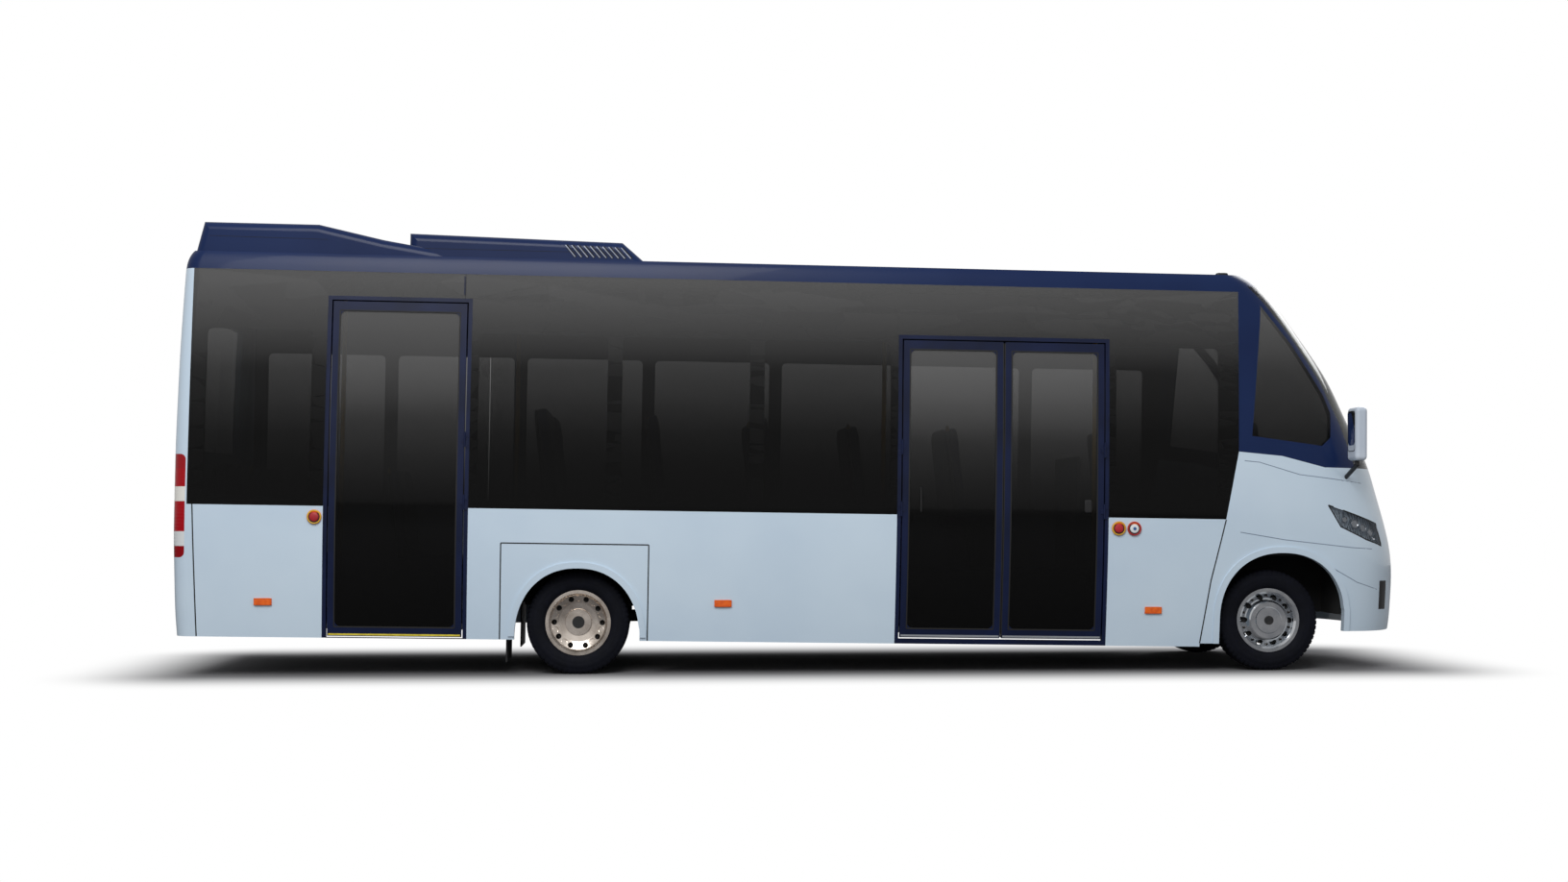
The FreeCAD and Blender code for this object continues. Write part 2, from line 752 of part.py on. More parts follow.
# Headlamps and the narrow lamps below them, set in the nose's corners
HEADLAMP_SHARES = [(0.0, 1.0), (0.89, 0.56), (1.0, 0.0), (0.66, 0.16), (0.21, 0.47)]


def corner_lamp(outline):
    """Lamp lens in the hull's surface, inside a side-view outline, on the right of the nose."""
    room = right(outline).common(box(0, NOSE, -WIDE, -S.headlamp_plane, LOW, TALL))
    return OUTER.common(room).cut(LAMP_BACK)


HEADLAMP = corner_lamp([
    (
        S.headlamp_rear_station + along_share * (S.headlamp_nose_station - S.headlamp_rear_station),
        S.headlamp_foot + up_share * (S.headlamp_head - S.headlamp_foot),
    )
    for along_share, up_share in HEADLAMP_SHARES
])
FOG_LAMP = corner_lamp(rectangle(
    S.fog_lamp_rear_station, S.fog_lamp_nose_station, S.fog_lamp_foot, S.fog_lamp_head))
NOSE_LAMPS = [HEADLAMP, FOG_LAMP, mirrored(HEADLAMP), mirrored(FOG_LAMP)]
GRILLE_HOLE = box(FRONT_AXLE, NOSE, -S.grille_half_width, S.grille_half_width, S.grille_foot, S.grille_head)
MASK = WALL.common(both(MASK_OUTLINE)).cut(front_arch(0, -WIDE, WIDE))
feature("front_mask", MASK.cut(Part.Compound(NOSE_LAMPS)).cut(GRILLE_HOLE))
feature("front_lamps", Part.Compound(NOSE_LAMPS))

# Flares that stand out round the wheel arches
SKIRT_CUT = box(-HALF_LENGTH, HALF_LENGTH, -WIDE, 0, LOW - S.overrun, S.mask_rear_height)
NOSE_CUT = box(S.front_arch_station, HALF_LENGTH, -WIDE, 0, LOW - S.overrun, S.mask_foot_height)


def flare(arch_shape):
    """Raised rim on the outside of the right wall, around one arch."""
    band = arch_shape(S.arch_flare_width, -WIDE, 0).cut(arch_shape(0, -WIDE, 0))
    band = band.cut(SKIRT_CUT).cut(NOSE_CUT)
    return band.common(RAISED).cut(OUTER).cut(MASK)


FLARES = [flare(rear_arch), flare(front_arch)]
feature("arch_flares", Part.Compound(FLARES + [mirrored(rim) for rim in FLARES]))

# Grille: level bars that follow the nose, joined by uprights
BAR_STEP = (S.grille_head - S.grille_foot) / (S.grille_bars * 2 + 1)
BARS = [
    box(FRONT_AXLE, NOSE, -S.grille_half_width, S.grille_half_width, low, low + BAR_STEP)
    for low in [S.grille_foot + BAR_STEP * (number * 2 + 1) for number in range(int(S.grille_bars))]
]
UPRIGHTS = [
    box(FRONT_AXLE, NOSE, side * S.grille_half_width * 2 / 3 - BAR_STEP / 4,
        side * S.grille_half_width * 2 / 3 + BAR_STEP / 4, S.grille_foot, S.grille_head)
    for side in (-1, 0, 1)
]
GRILLE_SKIN = WALL.common(GRILLE_HOLE)
feature("grille", GRILLE_SKIN.common(BARS[0].fuse(BARS[1:] + UPRIGHTS)))


# Side lamps and door buttons, raised a little from the right and left walls
def raised_patch(tool):
    """Low boss on the right wall, over the area of a tool."""
    return tool.common(RAISED).cut(OUTER)


def marker(station, height):
    """Side lamp, as long and high as marker_length and marker_height."""
    half_length = S.marker_length / 2
    half_height = S.marker_height / 2
    return raised_patch(box(station - half_length, station + half_length, -WIDE, -WIDE + S.marker_depth * 3,
                            height - half_height, height + half_height))


def button(station):
    """Round door button beside a doorway."""
    start = Vector(station, -WIDE, S.button_height)
    return raised_patch(rod(start, start + Vector(0, S.marker_depth * 3, 0), S.button_radius))


MARKERS = [
    marker(S.rear_marker_station, S.rear_marker_height),
    marker(S.mid_marker_station, S.mid_marker_height),
    marker(S.front_marker_station, S.front_marker_height),
]
BUTTONS = [button(S.rear_button_station), button(S.front_button_station), button(S.ramp_button_station)]
feature("side_lamps", Part.Compound(MARKERS + [mirrored(lamp) for lamp in MARKERS] + BUTTONS))

# Roof units: the fairing that rises round the tail and the cooling unit between its arms
FAIRING_SHARES = [(0.0, 0.0), (0.045, 1.0), (0.55, 1.0), (0.84, 0.66), (1.0, 0.52), (1.22, 0.0)]
FAIRING_LENGTH = S.cooler_tail_station + S.tail_corner_radius - S.fairing_tail_station
FAIRING_FOOT = S.roof_line_height + S.roof_thickness
FAIRING_FACE = flat([
    (
        S.fairing_tail_station + along_share * FAIRING_LENGTH,
        FAIRING_FOOT + up_share * (S.fairing_height - FAIRING_FOOT),
    )
    for along_share, up_share in FAIRING_SHARES
])
COOLER_ROOM = box(
    S.cooler_tail_station - S.fairing_gap, 0,
    -S.cooler_half_width - S.fairing_gap, S.cooler_half_width + S.fairing_gap, LOW, TALL * 2)


def soft_top(solid, radius):
    """Round the long upper edges of a roof unit."""
    edges = [
        edge for edge in solid.Edges
        if edge.BoundBox.YLength < S.glass_thickness and edge.BoundBox.ZMax > S.hull_top + radius
    ]
    return solid.makeFillet(radius, edges)


FAIRING = soft_top(across(FAIRING_FACE, -S.fairing_half_width, S.fairing_half_width), S.cooler_edge_radius)
feature("roof_fairing", FAIRING.cut(COOLER_ROOM).cut(OUTER))
COOLER_SHARES = [(0.0, 0.0), (0.0, 1.0), (0.885, 0.89), (0.97, 0.45), (1.0, 0.0)]
COOLER_FACE = flat([
    (
        S.cooler_tail_station + along_share * (S.cooler_nose_station - S.cooler_tail_station),
        FAIRING_FOOT + up_share * (S.cooler_height - FAIRING_FOOT),
    )
    for along_share, up_share in COOLER_SHARES
])
COOLER = soft_top(across(COOLER_FACE, -S.cooler_half_width, S.cooler_half_width), S.cooler_edge_radius)
feature("air_conditioner", COOLER.cut(OUTER))


# Wheels: outlines of the right half section, from the wheel's middle outwards, as shares of half the
# tyre's width across and of the rim's radius up
SEAT_SHARE = S.rim_seat_radius / S.rim_radius
BARREL_SHARE = SEAT_SHARE - 0.027
RIM_SHARES = [
    (0.72, BARREL_SHARE), (0.86, 0.90), (0.86, 1.0), (0.77, 1.0), (0.77, SEAT_SHARE),
    (-0.77, SEAT_SHARE), (-0.77, 1.0), (-0.86, 1.0), (-0.86, 0.90), (-0.72, BARREL_SHARE),
]
FRONT_DISC_SHARES = [
    (0.26, BARREL_SHARE), (0.76, 0.60), (0.84, 0.56), (0.84, 0.27), (0.27, 0.27), (0.27, 0.14), (1.02, 0.14),
    (1.02, 0.40),
    (0.95, 0.42), (0.95, 0.57), (0.88, 0.61), (0.42, BARREL_SHARE),
]
REAR_COVER_SHARES = [
    (0.30, BARREL_SHARE), (-0.02, 0.60), (-0.02, 0.405), (0.10, 0.405), (0.16, 0.60), (0.42, BARREL_SHARE),
]
TYRE_HALF_SHARES = [
    (0.75, 0.0), (0.75, 0.19), (0.95, 0.34), (1.0, 0.52), (0.97, 0.72), (0.87, 0.93), (0.72, 1.0)]
HALF_TYRE = S.tyre_width / 2


def turned_body(name, points, vents):
    """PartDesign body: a section of (across, radius) points turned about Y, with a ring of vent holes."""
    body = doc.addObject("PartDesign::Body", name)
    planes = {plane.Role: plane for plane in body.Origin.OriginFeatures}
    section = body.newObject("Sketcher::SketchObject", name + "_section")
    section.AttachmentSupport = [(planes["YZ_Plane"], "")]
    section.MapMode = "FlatFace"
    corners = [Vector(sideways, radius, 0) for sideways, radius in points]
    for start, end in zip(corners, corners[1:] + corners[:1]):
        section.addGeometry(Part.LineSegment(start, end))
    ring = body.newObject("PartDesign::Revolution", name + "_ring")
    ring.Profile = section
    ring.ReferenceAxis = (section, ["H_Axis"])
    ring.Angle = 360
    if vents:
        hole = body.newObject("Sketcher::SketchObject", name + "_vent")
        hole.AttachmentSupport = [(planes["XZ_Plane"], "")]
        hole.MapMode = "FlatFace"
        vent = Part.Circle(Vector(S.vent_pitch_radius, 0, 0), Vector(0, 0, 1), S.vent_radius)
        circle = hole.addGeometry(vent)
        radius = hole.addConstraint(Sketcher.Constraint("Radius", circle, S.vent_radius))
        pitch = hole.addConstraint(Sketcher.Constraint("DistanceX", -1, 1, circle, 3, S.vent_pitch_radius))
        hole.addConstraint(Sketcher.Constraint("DistanceY", -1, 1, circle, 3, 0))
        hole.setExpression(f"Constraints[{radius}]", "Sizes.vent_radius")
        hole.setExpression(f"Constraints[{pitch}]", "Sizes.vent_pitch_radius")
        vent = body.newObject("PartDesign::Pocket", name + "_vents")
        vent.Profile = hole
        vent.Type = "ThroughAll"
        vent.SideType = "Symmetric"
        pattern = body.newObject("PartDesign::PolarPattern", name + "_vent_ring")
        pattern.Originals = [vent]
        pattern.Axis = (planes["Y_Axis"], [""])
        pattern.Angle = 360
        pattern.Occurrences = int(S.vent_count)
        body.Tip = pattern
    doc.recompute()
    return body


def section_points(shares):
    """Wheel section points from their shares."""
    return [(across_share * HALF_TYRE, up_share * S.rim_radius) for across_share, up_share in shares]


TYRE_POINTS = [
    (across_share * HALF_TYRE, S.rim_seat_radius + up_share * (S.tyre_radius - S.rim_seat_radius))
    for across_share, up_share in TYRE_HALF_SHARES
]
TYRE_POINTS += [(-sideways, radius) for sideways, radius in reversed(TYRE_POINTS)]
FRONT_WHEEL = turned_body("front_wheel_pattern", section_points(FRONT_DISC_SHARES + RIM_SHARES), True)
COVER = turned_body("rear_cover_pattern", section_points(REAR_COVER_SHARES + RIM_SHARES), True)
TYRE = turned_body("tyre_pattern", TYRE_POINTS, False)


def lathe(points):
    """Solid turned about the Y axis from (across, radius) points."""
    corners = [Vector(0, sideways, radius) for sideways, radius in points]
    face = Part.Face(Part.makePolygon(corners + corners[:1]))
    return face.revolve(Vector(0, 0, 0), Vector(0, 1, 0), 360)


def at_wheel(shape, station, plane):
    """Move a left-hand wheel shape out to its wheel plane."""
    return shape.translated(Vector(station, plane, wheel_height(station)))


def pair(label, shape):
    """Keep a left-hand shape and its mirror image as two sub-parts."""
    feature(label + "_left", shape)
    feature(label + "_right", mirrored(shape))


pair("front_wheel", at_wheel(FRONT_WHEEL.Shape, FRONT_AXLE, S.front_wheel_plane))
pair("front_tyre", at_wheel(TYRE.Shape, FRONT_AXLE, S.front_wheel_plane))

# Twin rear wheels: both rims on one hub, with the discs bolted together half way between them
REAR_AXLE = S.rear_axle_station
DISC_PLANE = -S.twin_spacing / 2
DISC_SHARES = [
    (0.0, 0.575), (0.0, 0.38), (0.16, 0.38), (0.16, 0.575), (0.66, BARREL_SHARE), (0.50, BARREL_SHARE)]
DISC = lathe([
    (DISC_PLANE + across_share * HALF_TYRE, up_share * S.rim_radius)
    for across_share, up_share in DISC_SHARES
])
INNER_DISC = DISC.mirror(Vector(0, DISC_PLANE, 0), Vector(0, 1, 0))
LINING_SHARE = BARREL_SHARE - 0.002
INNER_RIM_SHARES = RIM_SHARES + [(-0.72, LINING_SHARE), (0.72, LINING_SHARE)]
INNER_RIM = lathe(section_points(INNER_RIM_SHARES)).translated(Vector(0, -S.twin_spacing, 0))
REAR_HUB = lathe([
    (DISC_PLANE - S.rear_hub_length / 2, S.axle_end_radius + S.wheel_fit),
    (DISC_PLANE - S.rear_hub_length / 2, S.rear_hub_radius),
    (S.rear_hub_length / 6, S.rear_hub_radius),
    (S.rear_hub_length / 6, S.axle_end_radius + S.wheel_fit),
])
TWIN = COVER.Shape.fuse([DISC, INNER_DISC, INNER_RIM, REAR_HUB]).removeSplitter()
TYRES = Part.Compound([TYRE.Shape, TYRE.Shape.translated(Vector(0, -S.twin_spacing, 0))])
pair("rear_wheels", at_wheel(TWIN, REAR_AXLE, S.rear_wheel_plane))
pair("rear_tyres", at_wheel(TYRES, REAR_AXLE, S.rear_wheel_plane))

# Ladder frame: two channel rails joined by cross members
RAIL_FOOT = S.rail_foot
RAIL_HEAD = S.rail_foot + S.rail_height
RAIL_HALF = S.rail_width / 2


def primitive(kind, **sizes):
    """Part primitive with its sizes and place tied to the sheet."""
    return bind(doc.addObject(kind, kind.split("::")[1]), **sizes)


def sheet_box(rear, front, right_side, left_side, foot, head):
    """Part::Box between stations, lateral planes and heights, each an expression on the sheet."""
    return primitive(
        "Part::Box",
        Length=f"({front}) - ({rear})", Width=f"({left_side}) - ({right_side})",
        Height=f"({head}) - ({foot})",
        Placement__Base__x=rear, Placement__Base__y=right_side, Placement__Base__z=foot)


def joined(label, pieces):
    """Sub-part that joins several pieces."""
    item = doc.addObject("Part::MultiFuse", label)
    item.Shapes = pieces
    return node(item, label)


def cut(base, tool):
    """One piece cut from another."""
    item = doc.addObject("Part::Cut", base.Name + "_cut")
    item.Base = base
    item.Tool = tool
    return item


def image(source):
    """Mirror image of a piece on the other side of the body."""
    item = doc.addObject("Part::Mirroring", source.Name + "_image")
    item.Source = source
    item.Normal = Vector(0, 1, 0)
    return item


RAIL = cut(
    sheet_box("rail_tail_station", "rail_nose_station", "rail_plane - rail_width / 2",
              "rail_plane + rail_width / 2", "rail_foot", "rail_foot + rail_height"),
    sheet_box("rail_tail_station - overrun", "rail_nose_station + overrun", "rail_plane - rail_width",
              "rail_plane + rail_width / 2 - rail_web", "rail_foot + rail_web",
              "rail_foot + rail_height - rail_web"))
CROSS_STATIONS = [
    "rail_tail_station", "rear_axle_station + spring_half_length", "rear_cross_station",
    "mid_cross_station", "fore_cross_station",
    "rail_nose_station - cross_member_width",
]
CROSS = [
    sheet_box(station, f"{station} + cross_member_width", "-(rail_plane + rail_width / 2 - rail_web)",
              "rail_plane + rail_width / 2 - rail_web",
              "rail_foot + (rail_height - cross_member_height) / 2",
              "rail_foot + (rail_height + cross_member_height) / 2")
    for station in CROSS_STATIONS
]
joined("chassis_frame", [RAIL, image(RAIL)] + CROSS)

# Rear axle: tube, bowl and half-shaft ends that carry the wheel hubs
AXLE_HEIGHT = wheel_height(REAR_AXLE)
AXLE_END = S.rear_wheel_plane + S.rear_hub_length / 6
bowl = Part.makeSphere(S.axle_bowl_radius).common(
    box(-S.axle_bowl_radius, S.axle_bowl_radius, -S.axle_bowl_width, S.axle_bowl_width,
        -S.axle_bowl_radius, S.axle_bowl_radius))
TUBE_END = S.rear_wheel_plane - S.twin_spacing / 2 - S.rear_hub_length / 2 - S.overrun / 4
axle_tube = rod(Vector(0, -TUBE_END, 0), Vector(0, TUBE_END, 0), S.axle_tube_radius)
axle_ends = rod(Vector(0, -AXLE_END, 0), Vector(0, AXLE_END, 0), S.axle_end_radius)
nose = Part.makeCone(S.axle_bowl_radius * 2 / 3, S.propshaft_radius, S.axle_bowl_radius / 2,
                     Vector(S.axle_bowl_radius * 3 / 4, 0, 0), Vector(1, 0, 0))
feature("rear_axle", axle_tube.fuse([bowl, axle_ends, nose]).removeSplitter().translated(
    Vector(REAR_AXLE, 0, AXLE_HEIGHT)))
PINION = REAR_AXLE + S.axle_bowl_radius * 5 / 4
ENGINE_TAIL = S.engine_station - S.engine_length / 2
SHAFT_TAIL = Vector(PINION, 0, AXLE_HEIGHT)
SHAFT_NOSE = Vector(ENGINE_TAIL, 0, RAIL_FOOT - S.propshaft_drop)
SHAFT_RUN = (SHAFT_NOSE - SHAFT_TAIL).normalize() * S.overrun
SHAFT_ROOM = box(PINION, ENGINE_TAIL, -WIDE, WIDE, 0, TALL)
SHAFT = rod(SHAFT_TAIL - SHAFT_RUN, SHAFT_NOSE + SHAFT_RUN, S.propshaft_radius)
feature("propshaft", SHAFT.common(SHAFT_ROOM))
ENGINE_FOOT = "rail_foot - engine_height / 5"
joined("engine_block", [
    sheet_box("engine_station - engine_length / 2", "engine_station + engine_length / 2",
              "-engine_width / 2", "engine_width / 2", ENGINE_FOOT, ENGINE_FOOT + " + engine_height"),
    sheet_box("engine_station - engine_mount / 2", "engine_station + engine_mount / 2",
              "-(rail_plane - rail_width / 2)", "rail_plane - rail_width / 2",
              "rail_foot", "rail_foot + engine_mount"),
])


# Leaf springs: stacks of bowed strips between the axle and the frame's eyes
def leaf_spring(station, low, high):
    """Stack of bowed leaves on one centre, over one axle seat, with its ends up at the frame rail."""
    rise = high - low
    radius = (S.spring_half_length ** 2 + rise ** 2) / (rise * 2)
    centre = Vector(station, 0, low + radius)
    leaves = []
    for number in range(int(S.spring_leaves)):
        reach = math.asin(S.spring_half_length * (1 - number / (S.spring_leaves + 1)) / radius)
        inner = radius + S.spring_leaf * (number - 1)
        spokes = [Vector(math.sin(turn), 0, -math.cos(turn)) for turn in (-reach, 0, reach)]
        upper = Part.Arc(*[centre + spoke * inner for spoke in spokes])
        lower = Part.Arc(*[centre + spoke * (inner + S.spring_leaf) for spoke in spokes])
        outline = Part.Wire([
            upper.toShape(),
            Part.makeLine(upper.EndPoint, lower.EndPoint),
            lower.toShape(),
            Part.makeLine(lower.StartPoint, upper.StartPoint),
        ])
        leaves.append(across(Part.Face(outline), S.spring_seat_plane - S.spring_width / 2,
                             S.spring_seat_plane + S.spring_width / 2))
    spring = leaves[0].fuse(leaves[1:])
    hangers = [
        box(station + side * S.spring_half_length - S.spring_leaf * 2, station + side * S.spring_half_length
            + S.spring_leaf * 2, S.spring_seat_plane - RAIL_HALF, S.spring_seat_plane + RAIL_HALF,
            high - S.spring_leaf * 2, RAIL_FOOT)
        for side in (-1, 1)
    ]
    return spring.fuse(hangers)


REAR_SEAT = AXLE_HEIGHT + S.axle_tube_radius + S.spring_leaf * (S.spring_leaves - 1)
REAR_SPRING = leaf_spring(REAR_AXLE, REAR_SEAT, RAIL_FOOT - S.spring_leaf * 2)
FRONT_AXLE_HEIGHT = wheel_height(FRONT_AXLE)
BEAM_TOP = FRONT_AXLE_HEIGHT - S.beam_drop + S.beam_height / 2
FRONT_SEAT = BEAM_TOP + S.spring_leaf * (S.spring_leaves - 1)
FRONT_SPRING = leaf_spring(FRONT_AXLE, FRONT_SEAT, RAIL_FOOT - S.spring_leaf * 2)
SPRINGS = [REAR_SPRING, FRONT_SPRING]
feature("leaf_springs", Part.Compound(SPRINGS + [mirrored(spring) for spring in SPRINGS]))

# Front axle: a forged beam that drops between its kingpin eyes, cut back under them for the knuckles' arms
EYE_HALF = S.kingpin_eye_height / 2
BEAM_HALF = S.beam_width / 2
SWEEP_SHARE = 1.4


def beam_half():
    """Left half of the dropped beam, with the kingpin eye and pin at its end."""
    low = -S.beam_drop
    inner = S.spring_seat_plane + S.spring_width
    middle = box(-BEAM_HALF, BEAM_HALF, 0, inner, low - S.beam_height / 2, low + S.beam_height / 2)
    corners = [
        Vector(-BEAM_HALF, inner, low - S.beam_height / 2),
        Vector(-BEAM_HALF, S.kingpin_plane, -EYE_HALF),
        Vector(-BEAM_HALF, S.kingpin_plane, EYE_HALF),
        Vector(-BEAM_HALF, S.kingpin_plane - S.kingpin_eye_radius, EYE_HALF),
        Vector(-BEAM_HALF, inner, low + S.beam_height / 2),
    ]
    swan = Part.Face(Part.makePolygon(corners + corners[:1])).extrude(Vector(S.beam_width, 0, 0))
    swan = swan.cut(rod(Vector(0, S.kingpin_plane, -S.beam_drop), Vector(0, S.kingpin_plane, -EYE_HALF),
                        S.kingpin_eye_radius * SWEEP_SHARE))
    web = S.beam_web
    groove = box(web / 2, BEAM_HALF * 2, -S.overrun, inner,
                 low - S.beam_height / 2 + web, low + S.beam_height / 2 - web)
    grooves = [groove, groove.mirror(Vector(0, 0, 0), Vector(1, 0, 0))]
    eye = rod(
        Vector(0, S.kingpin_plane, -EYE_HALF), Vector(0, S.kingpin_plane, EYE_HALF), S.kingpin_eye_radius)
    reach = EYE_HALF + S.kingpin_play + S.knuckle_lug_height
    pin = rod(Vector(0, S.kingpin_plane, -reach), Vector(0, S.kingpin_plane, reach), S.kingpin_radius)
    return middle.cut(grooves[0]).cut(grooves[1]).fuse([swan, eye, pin])


HALF_BEAM = beam_half().translated(Vector(FRONT_AXLE, 0, FRONT_AXLE_HEIGHT))
feature("front_axle", HALF_BEAM.fuse(mirrored(HALF_BEAM)).removeSplitter())


# Steering knuckles: a fork on the kingpin, with the spindle that carries the wheel
SPINDLE_SHARE = 1.1


def knuckle_left():
    """Left steering knuckle about its kingpin, with the hub's spindle."""
    low = EYE_HALF + S.kingpin_play
    high = low + S.knuckle_lug_height
    face = S.kingpin_plane + S.kingpin_eye_radius + S.knuckle_plate / 2
    lugs = []
    for start, end in ((low, high), (-high, -low)):
        lug = rod(Vector(0, S.kingpin_plane, start), Vector(0, S.kingpin_plane, end), S.kingpin_eye_radius)
        arm = box(-S.kingpin_eye_radius, S.kingpin_eye_radius, S.kingpin_plane, face, start, end)
        lugs += [lug, arm]
    plate = box(-S.kingpin_eye_radius, S.kingpin_eye_radius,
                face - S.knuckle_plate / 4, face + S.knuckle_plate, -high, high)
    hub = rod(Vector(0, face, 0), Vector(0, face + S.knuckle_plate, 0), S.hub_radius)
    spindle_end = S.front_wheel_plane + HALF_TYRE * SPINDLE_SHARE
    spindle = rod(Vector(0, face, 0), Vector(0, spindle_end, 0), S.wheel_bore_radius - S.wheel_fit)
    bore = rod(Vector(0, S.kingpin_plane, -high), Vector(0, S.kingpin_plane, high),
               S.kingpin_radius + S.kingpin_fit)
    return lugs[0].fuse(lugs[1:] + [plate, hub, spindle]).cut(bore)


pair("knuckle", knuckle_left().translated(Vector(FRONT_AXLE, 0, FRONT_AXLE_HEIGHT)))

# Exhaust and fuel tank under the floor
PIPE_PLANE = -S.rail_plane / 2
PIPE_HEIGHT = RAIL_FOOT - S.muffler_radius
MUFFLER_NOSE = Vector(FRONT_DOOR[0], PIPE_PLANE, PIPE_HEIGHT)
MUFFLER_TAIL = MUFFLER_NOSE - Vector(S.muffler_length, 0, 0)
PIPE_NOSE = Vector(ENGINE_TAIL, PIPE_PLANE, PIPE_HEIGHT)
muffler = rod(MUFFLER_TAIL, MUFFLER_NOSE, S.muffler_radius)
pipe = rod(MUFFLER_NOSE, PIPE_NOSE, S.exhaust_radius)
hanger = box(MUFFLER_TAIL.x, MUFFLER_TAIL.x + S.cross_member_width, -S.rail_plane, PIPE_PLANE,
             RAIL_FOOT - S.rail_web, RAIL_FOOT)
feature("exhaust", muffler.fuse([pipe, hanger]))
TANK = Part.makeBox(S.tank_length, S.tank_width, S.tank_height)
TANK = TANK.makeFillet(S.tank_corner, [edge for edge in TANK.Edges if edge.BoundBox.XLength > S.tank_width])
feature("fuel_tank", TANK.translated(Vector(
    S.front_door_station - S.tank_length / 2, S.rail_plane + RAIL_HALF,
    RAIL_HEAD - S.tank_height)))

# Floors: the main floor on the frame, the low floor behind it and the stepwell at the front doors
FLOOR_FOOT = S.floor_height - S.floor_thickness
WELL = (FRONT_DOOR[0] - S.door_gap, FRONT_DOOR[1] + S.door_gap)
WELL_PLANE = -S.body_half_width + S.step_depth
LOW_NOSE = S.low_floor_nose_station
INSIDE = INNER.common(box(-HALF_LENGTH, S.cab_floor_nose_station, -WIDE, WIDE, LOW, S.floor_height))
MAIN_FLOOR = INSIDE.common(box(LOW_NOSE, S.cab_floor_nose_station, -WIDE, WIDE, FLOOR_FOOT, S.floor_height))
LOW_FLOOR = INSIDE.common(box(
    -HALF_LENGTH, LOW_NOSE, -WIDE, WIDE, S.low_floor_height - S.floor_thickness, S.low_floor_height))
RISER = INSIDE.common(box(
    LOW_NOSE, LOW_NOSE + S.floor_thickness, -WIDE, WIDE, S.low_floor_height - S.floor_thickness, FLOOR_FOOT))
HOUSING = S.housing_thickness
REAR_ROOM_BOX = box(
    REAR_AXLE - S.rear_housing_half_length, REAR_AXLE + S.rear_housing_half_length,
    -WIDE, -S.rear_housing_plane, LOW - S.overrun, S.rear_housing_top)
FRONT_ROOM_BOX = box(
    S.front_arch_station - S.front_housing_half_length, S.front_arch_station + S.front_housing_half_length,
    -WIDE, -S.front_housing_plane, LOW - S.overrun, S.front_housing_top)
WELL_ROOM = box(*WELL, -WIDE, WELL_PLANE, LOW - S.overrun, TALL)


def grown(shape, margin):
    """Box that reaches a margin past another box on every side."""
    room = shape.BoundBox
    return box(room.XMin - margin, room.XMax + margin, room.YMin - margin, room.YMax + margin,
               room.ZMin - margin, room.ZMax + margin)


HOUSING_ROOMS = [REAR_ROOM_BOX, FRONT_ROOM_BOX]
HOUSING_OUTSIDES = [grown(room, HOUSING) for room in HOUSING_ROOMS]
HOUSING_CUTS = HOUSING_OUTSIDES + [mirrored(room) for room in HOUSING_OUTSIDES]
LOW_FOOT = S.step_low_height - S.floor_thickness
MID_FOOT = S.step_mid_height - S.floor_thickness
MID_EDGE = WELL_PLANE - S.step_tread
STEP_LOW = box(*WELL, -WIDE, MID_EDGE, LOW_FOOT, S.step_low_height)
STEP_MID = box(*WELL, MID_EDGE, WELL_PLANE, MID_FOOT, S.step_mid_height)
STEP_RISE = box(*WELL, MID_EDGE - HOUSING, MID_EDGE, LOW_FOOT, S.step_mid_height)
WELL_BACK = box(*WELL, WELL_PLANE, WELL_PLANE + HOUSING, MID_FOOT, S.floor_height)
WELL_ENDS = [
    box(WELL[0] - HOUSING, WELL[0], -WIDE, WELL_PLANE + HOUSING, LOW_FOOT, S.floor_height),
    box(WELL[1], WELL[1] + HOUSING, -WIDE, WELL_PLANE + HOUSING, LOW_FOOT, S.floor_height),
]
STEPS = INSIDE.common(STEP_LOW.fuse([STEP_MID, STEP_RISE, WELL_BACK] + WELL_ENDS))
COVER_HALF = S.engine_width / 2 + S.engine_cover_gap
COVER_REAR = ENGINE_TAIL - S.engine_cover_gap
COVER_ROOM = box(COVER_REAR, S.dash_station, -COVER_HALF, COVER_HALF, FLOOR_FOOT, S.engine_cover_height)
COVER_SKIN = box(COVER_REAR - S.sheet_thickness, S.dash_station, -COVER_HALF - S.sheet_thickness,
                 COVER_HALF + S.sheet_thickness, S.floor_height, S.engine_cover_height + S.sheet_thickness)
ENGINE_ROOM = box(COVER_REAR, S.engine_station + S.engine_length / 2 + S.engine_cover_gap,
                  -COVER_HALF, COVER_HALF, FLOOR_FOOT, S.floor_height)
FLOOR = MAIN_FLOOR.cut(Part.Compound([WELL_ROOM, ENGINE_ROOM] + HOUSING_CUTS))
feature("main_floor", FLOOR.cut(Part.Compound(WELL_ENDS + [WELL_BACK])).fuse(COVER_SKIN.cut(COVER_ROOM)))
feature("front_steps", STEPS)
feature("low_floor", LOW_FLOOR.fuse(RISER).cut(Part.Compound(HOUSING_CUTS)))


# Wheel housings: thin open boxes between the outer wall and the floor, over each wheel
def housing(room):
    """Housing round a wheel's room, open below and at the outer wall."""
    shell = grown(room, HOUSING).cut(room).common(INNER_HALF)
    return shell.cut(box(-HALF_LENGTH, HALF_LENGTH, -WIDE, 0, LOW - S.overrun * 2, S.housing_foot))


INNER_HALF = INNER.common(box(-HALF_LENGTH, HALF_LENGTH, -WIDE, 0, LOW, S.mask_top_height))
HOUSINGS = [housing(room) for room in HOUSING_ROOMS]
feature("wheel_housings", Part.Compound(HOUSINGS + [mirrored(shell) for shell in HOUSINGS]))


# Passenger seats: a cushion and a raked back in one shell, on a pedestal
SEAT_SHARES = [
    (0.0, 0.05), (0.93, 0.0), (1.0, 0.06), (0.98, 0.15), (0.30, 0.13), (0.10, 0.98), (0.03, 1.0),
    (-0.10, 0.96), (0.02, 0.12),
]


